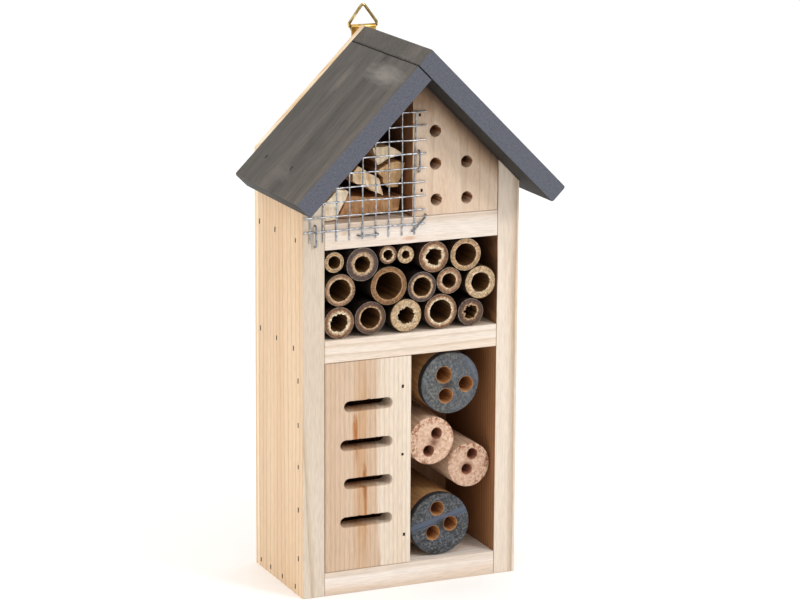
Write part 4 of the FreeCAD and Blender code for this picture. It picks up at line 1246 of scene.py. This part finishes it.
# Outline in millimetres, then the light and dark of the torn faces, the end's tone and shade, the
# angle of the end's streaks, and how the end leans.
SPLIT_PIECES = {
    "split_wood_corner": (((-42.2, 173.0), (-33.9, 173.0), (-33.3, 175.2), (-30.3, 180.4),
                           (-27.4, 185.6), (-28.4, 186.7), (-33.4, 187.4), (-39.5, 181.6),
                           (-42.2, 179.1)),
                          "#f0d8b4", "#c09a70", "#fff2de", "#ecd5b4", -0.5, (0.05, 0.1)),
    "split_wood_floor": (((-33.0, 173.4), (-28.5, 173.0), (-14.6, 173.8), (-3.9, 175.2),
                          (-2.3, 179.9), (-2.0, 181.5), (-9.8, 181.2), (-18.8, 182.2),
                          (-27.3, 182.7)),
                         "#b98656", "#74482a", "#cb9c6c", "#a06f42", -0.75, (-0.1, 0.25)),
    "split_wood_point": (((-27.9, 190.6), (-26.1, 189.2), (-21.6, 188.2), (-17.8, 184.9),
                          (-11.0, 182.0), (-13.0, 190.3), (-15.4, 192.3), (-18.5, 193.6),
                          (-22.0, 196.0), (-24.7, 197.3), (-27.9, 194.4)),
                         "#c99a66", "#8d5f38", "#f2dfc0", "#cda87a", 0.35, (0.2, 0.1)),
    "split_wood_knot": (((-15.6, 194.2), (-14.2, 192.3), (-12.6, 190.6), (-11.6, 187.6),
                         (-8.8, 185.2), (-3.0, 184.6), (-2.2, 188.6), (-1.6, 190.0),
                         (-0.6, 192.2), (-0.6, 196.8), (-4.6, 198.3), (-8.6, 197.6),
                         (-11.0, 196.5)),
                        "#c79a68", "#8a5c35", "#cfac7e", "#a67f52", 1.2, (0.1, -0.2)),
    "split_wood_top": (((-16.2, 204.0), (-15.2, 199.2), (-13.9, 195.8), (-8.0, 198.2),
                        (-5.2, 199.3), (-0.8, 200.2), (-6.3, 204.1), (-8.1, 204.7)),
                       "#d9b384", "#a87a4b", "#fae9cc", "#dcc096", 1.5, (-0.1, 0.1)),
    "split_wood_eave": (((-39.0, 188.4), (-29.6, 190.2), (-29.2, 196.0), (-31.5, 203.0),
                         (-36.5, 199.5)),
                        "#8a5f3c", "#4e331e", "#a87a4e", "#6d4a2c", 0.3, (0.0, 0.1)),
    "split_wood_inner": (((-23.0, 200.0), (-18.6, 196.6), (-18.4, 206.0), (-22.5, 207.5)),
                         "#6d3f25", "#3a2012", "#7b4b2c", "#4a2a17", 0.0, (0.1, 0.1)),
}
for seed, (node, entry) in enumerate(SPLIT_PIECES.items(), start=3):
    outline, light, dark, end_tone, end_shade, end_angle, tilt = entry
    wood = split_wood(node + "_wood", light, dark, end_tone, end_shade, end_angle)
    chip = split_piece(node + "_torn", node, outline, wood, seed, tilt)
    print(chip.name, len(chip.data.vertices), "points")

# %% [markdown]
# ## Welded mesh
#
# Galvanised mesh keeps birds away from the chips. Level wires are welded over upright ones, and the
# molten zinc leaves a small lump at each crossing. No wire is quite straight after the
# mesh has been cut and bent, so each one is a curve that wanders by a few tenths of a millimetre.
# Zinc is a metal: its colour is in its reflection, dull grey with cloudy patches, and its
# roughness is middling.

# %% Wire materials


def metal(name, low_tone, high_tone, low_rough, high_rough, scale=600.0):
    """A bare metal whose tone and roughness wander between two values."""
    material, tree, shader = new_material(name)
    place = add_node(tree, "TexCoord").outputs["Object"]
    cloud = add_node(tree, "TexNoise", {"Vector": place, "Scale": scale, "Detail": 4.0,
                                        "Roughness": 0.6})
    tone = add_node(tree, "ValToRGB", {0: cloud.outputs[0]}, stops=[
        (0.35, linear(low_tone)), (0.65, linear(high_tone))])
    rough = add_node(tree, "MapRange", {"Value": cloud.outputs[0], "From Min": 0.3,
                                        "From Max": 0.7, "To Min": high_rough,
                                        "To Max": low_rough})
    tree.links.new(tone.outputs[0], shader.inputs["Base Color"])
    tree.links.new(rough.outputs[0], shader.inputs["Roughness"])
    bump = add_node(tree, "Bump", {"Strength": 0.2, "Distance": 0.03 * MM,
                                   "Height": cloud.outputs[0]})
    tree.links.new(bump.outputs[0], shader.inputs["Normal"])
    shader.inputs["Metallic"].default_value = 1.0
    return material


zinc = metal("zinc_hot_dipped", "#7b7e84", "#c9cbd0", 0.28, 0.45)
staple_zinc = metal("zinc_electroplated", "#5e6268", "#a9acb2", 0.22, 0.38)
print("metals:", zinc.name, staple_zinc.name)

# %% Wires


def wire_mesh(name, paths, radius, cyclic=False, sides=10):
    """A mesh of round wires along lists of points; a point may carry its share of the radius."""
    curve = bpy.data.curves.new(name + "_paths", "CURVE")
    curve.dimensions = "3D"
    curve.bevel_depth = radius
    curve.bevel_resolution = sides // 2 - 2
    curve.use_fill_caps = True
    for path in paths:
        spline = curve.splines.new("POLY")
        spline.points.add(len(path) - 1)
        for point, place in zip(spline.points, path):
            point.co = (*place[:3], 1.0)
            point.radius = place[3] if len(place) > 3 else 1.0
        spline.use_cyclic_u = cyclic
    return mesh_from_curve(name, curve)


MESH_PITCH = 6.35 * MM
MESH_CELLS = 8
WIRE_RADIUS = 0.35 * MM
mesh_left = -49.7 * MM
mesh_bottom = 169.95 * MM
TAIL = 5.0 * MM
WELD_DEPTH = 0.1 * MM
WELD_REACH = 0.9 * MM
SWAY = 0.35 * MM
WIRE_STEP = 1.1 * MM
upright_y = front_y - WIRE_RADIUS
crossing_y = upright_y - 2 * WIRE_RADIUS + WELD_DEPTH
roof_gap = 1.4 * MM


def wandering(start, end, seed):
    """Points from start to end, each with how far the wire has wandered sideways there."""
    start, end = Vector(start), Vector(end)
    length = (end - start).length
    count = max(8, round(length / WIRE_STEP))
    points = []
    for number in range(count + 1):
        share = number / count
        place = start.lerp(end, share)
        drift = SWAY * noise.noise(Vector((share * length / (22 * MM), seed, 0.0)))
        kink = SWAY * 0.35 * noise.noise(Vector((share * length / (5 * MM), seed + 31.0, 0.0)))
        points.append((place, drift + kink))
    return points


def weld_lump(along, swelling):
    """A wire's share of its radius at a distance along from a crossing, thickest at the weld."""
    to_weld = abs((along + MESH_PITCH / 2) % MESH_PITCH - MESH_PITCH / 2)
    return 1.0 + swelling * max(0.0, 1.0 - to_weld / WELD_REACH)


wire_paths = []
for number in range(MESH_CELLS + 1):
    across = mesh_left + number * MESH_PITCH
    top = min(mesh_bottom + MESH_CELLS * MESH_PITCH + WIRE_RADIUS, ridge_height + across - roof_gap)
    walk = wandering((across, upright_y, mesh_bottom - TAIL), (across, upright_y, top),
                     number * 3.7)
    upright = []
    for place, drift in walk:
        lump = weld_lump(place.z - mesh_bottom, 0.22)
        upright.append((place.x + drift, place.y - 0.02 * abs(drift), place.z, lump))
    wire_paths.append(upright)
    height = mesh_bottom + number * MESH_PITCH
    left = max(-half_width, height - ridge_height + roof_gap)
    right = mesh_left + MESH_CELLS * MESH_PITCH + TAIL
    walk = wandering((left, crossing_y, height), (right, crossing_y, height), number * 5.3 + 60)
    crossing = []
    for place, drift in walk:
        lump = weld_lump(place.x - mesh_left, 0.18)
        crossing.append((place.x, place.y, place.z + drift, lump))
    wire_paths.append(crossing)
wires = mesh_piece("wire_mesh_welded", wire_mesh("wire_mesh_welded", wire_paths, WIRE_RADIUS),
                   [zinc], smooth_angle=60)
take_over(wires, ["wire_mesh"])
print(wires.name, len(wire_paths), "wires")

# %% [markdown]
# ## Staples
#
# Four staples hold the mesh. A staple is one wire bent twice, so its corners are round, and its
# crown stands a little off the wood where it bridges the mesh.

# %% Staple wires

# Each crown's middle, across and up in millimetres, and its angle in degrees.
STAPLES = ((-47.15, 168.0, 90.0), (-21.8, 166.8, 0.0), (2.95, 170.15, 46.6), (2.7, 198.3, 90.0))
STAPLE_RADIUS = 0.45 * MM
STAPLE_SPAN = 9.6 * MM
STAPLE_LEG = 9.0 * MM
STAPLE_BENDS = (1.0, 1.0)
crown_y = front_y - 1.8 * MM


def filleted(corners, bends, steps):
    """A path through corners in space, each bend an arc of its radius in millimetres."""
    path = [tuple(corners[0])]
    for before, corner, after, bend in zip(corners, corners[1:], corners[2:], bends):
        path += rounded_corner(before, corner, after, bend * MM, steps)
    path.append(tuple(corners[-1]))
    return path


staple_paths = []
for across, up, degrees in STAPLES:
    along = Vector((math.cos(math.radians(degrees)), 0.0, math.sin(math.radians(degrees))))
    middle = Vector((across * MM, crown_y, up * MM))
    first, second = middle - along * STAPLE_SPAN / 2, middle + along * STAPLE_SPAN / 2
    leg = Vector((0.0, STAPLE_LEG, 0.0))
    corners = [first + leg, first, second, second + leg]
    staple_paths.append(filleted(corners, STAPLE_BENDS, 5))
staple_mesh = wire_mesh("mesh_staples_bent", staple_paths, STAPLE_RADIUS)
staples = mesh_piece("mesh_staples_bent", staple_mesh, [staple_zinc], smooth_angle=60)
take_over(staples, ["mesh_staples"])
print(staples.name, len(staple_paths), "staples")

# %% [markdown]
# ## Brads
#
# A nail gun drives T-headed brads: flat pins with an oblong head that lies along the grain and
# ends up flush with the wood, or just below it. From a distance each one is a short dark dash, and
# those in the thin front panels are of a smaller gauge. The heads' near-black is partly dark steel
# and partly painted shade for the small recess round each head. The places and directions are read
# from the solids: every brad is a small island of its node's mesh, and its outermost face is the
# head.

# %% Brad heads


def islands(mesh):
    """The vertex places of each separate island of a mesh."""
    neighbours = {vert.index: [] for vert in mesh.vertices}
    for edge in mesh.edges:
        first, second = edge.vertices
        neighbours[first].append(second)
        neighbours[second].append(first)
    seen, groups = set(), []
    for start in neighbours:
        if start in seen:
            continue
        group, queue = [], [start]
        seen.add(start)
        while queue:
            index = queue.pop()
            group.append(mesh.vertices[index].co.copy())
            for other in neighbours[index]:
                if other not in seen:
                    seen.add(other)
                    queue.append(other)
        groups.append(group)
    return groups


# How deep and wide a head is, how wide its shank is, and how far a head may be from its axis.
BRAD_HEAD, HEAD_WIDTH = 0.7 * MM, 1.1 * MM
SHANK_WIDTH, SHANK_DEPTH = 1.1 * MM, 0.9 * MM
HEAD_REACH = 1.5 * MM
HEAD_PROUD = 0.04 * MM


def brad_places(node, into):
    """The middle of each brad's head, for brads driven one way: a head's rim is BRAD_HEAD deep."""
    places = []
    for points in islands(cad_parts[node].data):
        nearest = min(point.dot(into) for point in points)
        head = [point for point in points if point.dot(into) < nearest + 0.01 * MM]
        spot = sum(head, Vector()) / len(head)
        reach = max((point - spot - into * (point - spot).dot(into)).length for point in points)
        deep = max(point.dot(into) for point in points) - nearest
        is_head = reach < HEAD_REACH and abs(deep - BRAD_HEAD) < 0.1 * MM
        if is_head and all((spot - other).length > 1.0 * MM for other in places):
            places.append(spot)
    return places


print("brads on the left side:", len(brad_places("side_brads_left", Vector((1, 0, 0)))))

# %% Brads

# Lengths, and the shortest and longest head, in millimetres, where a group differs from the rest.
BRAD_LENGTHS = {"roof_brads": 15.0, "back_brads": 15.0}
BRAD_HEADS = {"front_brads": (1.2, 1.6)}
USUAL_LENGTH, USUAL_HEADS = 22.0, (1.9, 2.5)
LEAN = 9
# The heads' near-black is partly the steel and partly painted shade of the recess round each head.
shaded_brad_steel = metal("steel_brad_dark", "#1d1712", "#43372d", 0.5, 0.7)


def oblong(bm, middle, size, axes):
    """A small block: its middle, its three sizes and the directions they are measured in."""
    corners = []
    for a in (-0.5, 0.5):
        for b in (-0.5, 0.5):
            for c in (-0.5, 0.5):
                offset = axes[0] * size[0] * a + axes[1] * size[1] * b + axes[2] * size[2] * c
                corners.append(bm.verts.new(middle + offset))
    for face in ((0, 1, 3, 2), (4, 6, 7, 5), (0, 4, 5, 1), (2, 3, 7, 6), (0, 2, 6, 4),
                 (1, 5, 7, 3)):
        bm.faces.new([corners[index] for index in face])


def brads(name, node, drives, length, heads, seed):
    """T-headed brads in place of a node's plain ones.
    drives: the direction that each group is driven in, and that of the grain it goes into."""
    shake = random.Random(seed)
    bm = bmesh.new()
    count = 0
    for into, grain in drives:
        into, grain = Vector(into).normalized(), Vector(grain).normalized()
        for spot in brad_places(node, into):
            lean = Matrix.Rotation(math.radians(shake.uniform(-LEAN, LEAN)), 3, into)
            along = lean @ grain
            axes = (along, into.cross(along), into)
            out = spot - into * HEAD_PROUD
            head = shake.uniform(*heads) * MM
            oblong(bm, out + into * BRAD_HEAD / 2, (head, HEAD_WIDTH, BRAD_HEAD), axes)
            shank = length * MM - 0.6 * MM
            oblong(bm, out + into * (0.6 * MM + shank / 2), (SHANK_WIDTH, SHANK_DEPTH, shank),
                   axes)
            count += 1
    take_over(mesh_piece(name, mesh_from_bmesh(name, bm), [shaded_brad_steel]), [node])
    print(name, count, "brads")


BRAD_DRIVES = {
    "side_brads_left": (((1, 0, 0), (0, 0, 1)),),
    "side_brads_right": (((-1, 0, 0), (0, 0, 1)),),
    "front_brads": (((0, 1, 0), (0, 0, 1)),),
    "back_brads": (((0, -1, 0), (0, 0, 1)),),
    "roof_brads": (((1, 0, -1), (-1, 0, -1)), ((-1, 0, -1), (-1, 0, 1))),
}
for seed, (node, drives) in enumerate(BRAD_DRIVES.items()):
    brads(node + "_pins", node, drives, BRAD_LENGTHS.get(node, USUAL_LENGTH),
          BRAD_HEADS.get(node, USUAL_HEADS), seed)

# %% [markdown]
# ## The hanger
#
# The hanger is a strip of sheet brass whose upper end was rolled round a ring of brass wire, and
# one screw holds it to the back board. The strip is drawn as its own edge-on outline, straight
# down the wood and round in a roll, and given its width. The wire is bent to a triangle, and it is
# a little thicker where the roll has not squeezed it. Brass is yellow in its reflections: the wire
# and the screw are bright, with dark and pale clouds that are partly the tumbling drum's finish and
# partly painted reflection, and the rolled strip is a warmer yellow.

# %% Brass

# The bright brass's dark and pale clouds are partly its finish and partly painted reflection.
bright_brass = metal("brass_bright", "#7d6128", "#dcc78c", 0.14, 0.26, scale=500.0)
strap_brass = metal("brass_rolled_strip", "#a9803c", "#dab56a", 0.22, 0.36, scale=350.0)

ring_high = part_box("hanger_ring")[1]
strap_low, strap_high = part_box("hanger_strap")
STRIP = 0.6 * MM
RING_WIRE = 0.6 * MM
ROLL_GAP = 0.08 * MM
hanger_x = (strap_low.x + strap_high.x) / 2
axis_y = back_high.y + RING_WIRE + ROLL_GAP + STRIP
axis_z = strap_high.z - (axis_y - back_high.y)
print("ring turns", round((axis_y - back_high.y) / MM, 2), "mm behind the back board")

# %% Rolled strip


ROLL_STEPS = 32
ROLL_START, ROLL_TURN = math.pi * 1.02, math.radians(318)
ROLL_FOOT = 2.0 * MM
STRIP_EDGE = 0.08 * MM


def strip_outline():
    """The strip seen edge-on: places back and up, round the roll and down to its foot."""
    inner = RING_WIRE + ROLL_GAP
    outer = inner + STRIP
    inside, outside = [], []
    for step in range(ROLL_STEPS + 1):
        turn = ROLL_START - ROLL_TURN * step / ROLL_STEPS
        inside.append((axis_y + inner * math.cos(turn), axis_z + inner * math.sin(turn)))
        outside.append((axis_y + outer * math.cos(turn), axis_z + outer * math.sin(turn)))
    wood, face, foot = back_high.y, back_high.y + STRIP, strap_low.z
    down = [(wood, axis_z - ROLL_FOOT), (wood, foot + 0.4 * MM), (wood + 0.15 * MM, foot)]
    up = [(face - 0.15 * MM, foot), (face, foot + 0.4 * MM), (face, axis_z - ROLL_FOOT)]
    return outside[::-1] + down + up + inside


strap = sawn_board("hanger_strap_rolled", strip_outline(), strap_low.x, strap_high.x, strap_brass,
                   edge=STRIP_EDGE)
# The outline was drawn as if seen from the front, so it is turned to be seen from the side.
strap.data.transform(Matrix(((0, 1, 0, 0), (1, 0, 0, 0), (0, 0, 1, 0), (0, 0, 0, 1))))
strap.data.flip_normals()
take_over(strap, ["hanger_strap"])
print(strap.name, len(strap.data.polygons), "faces")

# %% Screw

SCREW_HEAD, SCREW_DOME = 2.4 * MM, 1.2 * MM
SCREW_SHANK, SCREW_TIP = 1.3 * MM, 0.1 * MM
SCREW_HEIGHT = 241.0 * MM
SCREW_SIDES, HEAD_RINGS = 64, 22
CROSS_ARM, CROSS_REACH, CROSS_DEPTH = 0.42 * MM, 1.5 * MM, 0.75 * MM


def cross_depth(across, up):
    """How deep the driver's cross is at a place on the screw's head."""
    along, aside = max(abs(across), abs(up)), min(abs(across), abs(up))
    return CROSS_DEPTH if along <= CROSS_REACH and aside < CROSS_ARM else 0.0


def turned_screw(name):
    """A domed head with a driver's cross, and its shank, all turned about the screw's axis."""
    base = back_high.y + STRIP
    rings = []
    for number in range(1, HEAD_RINGS + 1):
        radius = number * SCREW_HEAD / HEAD_RINGS
        dome = SCREW_DOME * math.sqrt(max(0.0, 1 - (radius / SCREW_HEAD) ** 2.6))
        ring = []
        for step in range(SCREW_SIDES):
            turn = FULL_TURN * step / SCREW_SIDES
            across, up = radius * math.cos(turn), radius * math.sin(turn)
            proud = max(0.02 * MM, dome - cross_depth(across, up))
            ring.append((hanger_x + across, base + proud, SCREW_HEIGHT + up))
        rings.append(ring)
    for radius, deep in ((SCREW_HEAD * 0.98, 0.0), (SCREW_SHANK, 0.0), (SCREW_SHANK, 11.0 * MM),
                         (SCREW_TIP, 13.0 * MM)):
        rings.append(ring_of_points([radius] * SCREW_SIDES, base - deep, hanger_x, SCREW_HEIGHT))
    bm = bmesh.new()
    for end in add_wall(bm, rings, 0):
        bm.faces.new(end)
    return mesh_piece(name, mesh_from_bmesh(name, bm), [bright_brass], smooth_angle=40)


screw = take_over(turned_screw("hanger_screw_turned"), ["hanger_screw"])
print(screw.name, len(screw.data.vertices), "points")

# %% Ring

half = 6.8 * MM
shoulder, rise = 1.9 * MM, 11.0 * MM
END_GAP = 0.1 * MM
ring_corners = [(END_GAP, 0.0), (half, 0.0), (half, shoulder), (0.0, rise), (-half, shoulder),
                (-half, 0.0), (-END_GAP, 0.0)]
ring_places = [Vector((hanger_x + across, axis_y, axis_z + up)) for across, up in ring_corners]
RING_BENDS = (0.9, 0.9, 1.2, 0.9, 0.9)
OUTSIDE_ROLL, THICKER = 0.5 * MM, 1.2
ring_path = []
for place in filleted(ring_places, RING_BENDS, 8):
    ring_path.append((*place, 1.0 if place[2] < axis_z + OUTSIDE_ROLL else THICKER))
ring_mesh = wire_mesh("hanger_ring_bent", [ring_path], RING_WIRE, sides=18)
ring = mesh_piece("hanger_ring_bent", ring_mesh, [bright_brass], smooth_angle=60)
take_over(ring, ["hanger_ring"], body="hanger_ring")
print(ring.name, "stands", round((ring_high.z - axis_z) / MM, 1), "mm above its hinge")

# %% [markdown]
# ## Floor, light and camera
#
# The house stands on a pale floor. A soft light high in front, to the right, falls into the open
# bays and leaves their right-hand walls and upper corners in shade. A second, warmer light far to
# the left brightens only the outer side panel. The sky around is white and fills the shadows: it
# gives more light from overhead than from the horizon, but the camera sees it as plain white. The
# camera stands far off with a long lens, as for a catalogue, so the uprights stay nearly parallel.

# %% Floor

floor_material, floor_tree, floor_shader = new_material("studio_paper")
floor_shader.inputs["Base Color"].default_value = linear("#fcfcfc")
floor_shader.inputs["Roughness"].default_value = 0.9
floor_mesh = bpy.data.meshes.new("studio_floor")
SWEEP_HALF = 3.0
floor_corners = [(-SWEEP_HALF, -SWEEP_HALF, 0), (SWEEP_HALF, -SWEEP_HALF, 0),
                 (SWEEP_HALF, SWEEP_HALF, 0), (-SWEEP_HALF, SWEEP_HALF, 0)]
floor_mesh.from_pydata(floor_corners, [], [(0, 1, 2, 3)])
floor = bpy.data.objects.new("studio_floor", floor_mesh)
floor_mesh.materials.append(floor_material)
bpy.context.scene.collection.objects.link(floor)
floor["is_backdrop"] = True
print("floor", 2 * SWEEP_HALF, "m wide")

# %% Light


def soft_box(name, place, aim, size, watts, colour):
    """A square area light at a place, turned to face a point."""
    light = bpy.data.lights.new(name, "AREA")
    light.size = size
    light.energy = watts
    light.color = linear(colour)[:3]
    lamp = bpy.data.objects.new(name, light)
    lamp.location = place
    lamp.rotation_euler = (Vector(aim) - Vector(place)).to_track_quat("-Z", "Y").to_euler()
    bpy.context.scene.collection.objects.link(lamp)


HOUSE_MIDDLE = (0.0, 0.0, 0.13)
# How bright the sky is at the horizon and overhead.
SKY_LOW, SKY_HIGH = 0.38, 1.38
soft_box("key_light", (0.85, -1.35, 1.05), HOUSE_MIDDLE, 0.4, 11.0, "#fffdfb")
soft_box("side_light", (-1.5, 0.1, 0.5), HOUSE_MIDDLE, 0.8, 6.8, "#ffe9cd")
world = bpy.data.worlds.new("white_room")
bpy.context.scene.world = world
world.use_nodes = True
sky_tree = world.node_tree
direction = add_node(sky_tree, "TexCoord").outputs["Generated"]
height = add_node(sky_tree, "SeparateXYZ", {0: direction}).outputs["Z"]
glow = add_node(sky_tree, "MapRange", {"Value": height, "From Min": 0.0, "From Max": 1.0,
                                       "To Min": SKY_LOW, "To Max": SKY_HIGH}).outputs[0]
seen = add_node(sky_tree, "LightPath").outputs["Is Camera Ray"]
strength = add_node(sky_tree, "Mix", {0: seen, 2: glow, 3: 1.0},
                    data_type="FLOAT").outputs[0]
sky = sky_tree.nodes["Background"]
sky.inputs["Color"].default_value = linear("#ffffff")
sky_tree.links.new(strength, sky.inputs["Strength"])

# %% Camera

CAMERA_AIM = Vector((11.826, 10.75, 124.729)) * MM
CAMERA_DISTANCE = 1484.07 * MM
CAMERA_TURN = math.radians(23.787)
CAMERA_RISE = math.radians(13.551)
CAMERA_ROLL = math.radians(0.313)
LENS_LENGTH, SENSOR_WIDTH = 144.2, 36.0
away = Vector((-math.sin(CAMERA_TURN) * math.cos(CAMERA_RISE),
               -math.cos(CAMERA_TURN) * math.cos(CAMERA_RISE), math.sin(CAMERA_RISE)))
level_right = Vector((math.cos(CAMERA_TURN), -math.sin(CAMERA_TURN), 0.0))
level_up = away.cross(level_right)
camera_right = level_right * math.cos(CAMERA_ROLL) + level_up * math.sin(CAMERA_ROLL)
camera_up = level_up * math.cos(CAMERA_ROLL) - level_right * math.sin(CAMERA_ROLL)
lens = bpy.data.cameras.new("catalogue_lens")
lens.lens = LENS_LENGTH
lens.sensor_width = SENSOR_WIDTH
lens.clip_end = 20.0
camera = bpy.data.objects.new("catalogue_camera", lens)
turn = Matrix((camera_right, camera_up, away)).transposed().to_4x4()
camera.matrix_world = Matrix.Translation(CAMERA_AIM + away * CAMERA_DISTANCE) @ turn
bpy.context.scene.collection.objects.link(camera)
bpy.context.scene.camera = camera
bpy.context.scene.view_settings.view_transform = "Standard"
print("camera at", [round(c, 3) for c in camera.location])

# %% [markdown]
# ## Sizes, and the end
#
# The dressed model is measured again and its size printed: torn wood and lumps of zinc may add
# hairs, but the house must stay as big as it was designed.

# %% Sizes

low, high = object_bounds()
print("visual size, in mm:", [round((b - a) / MM, 2) for a, b in zip(low, high)])
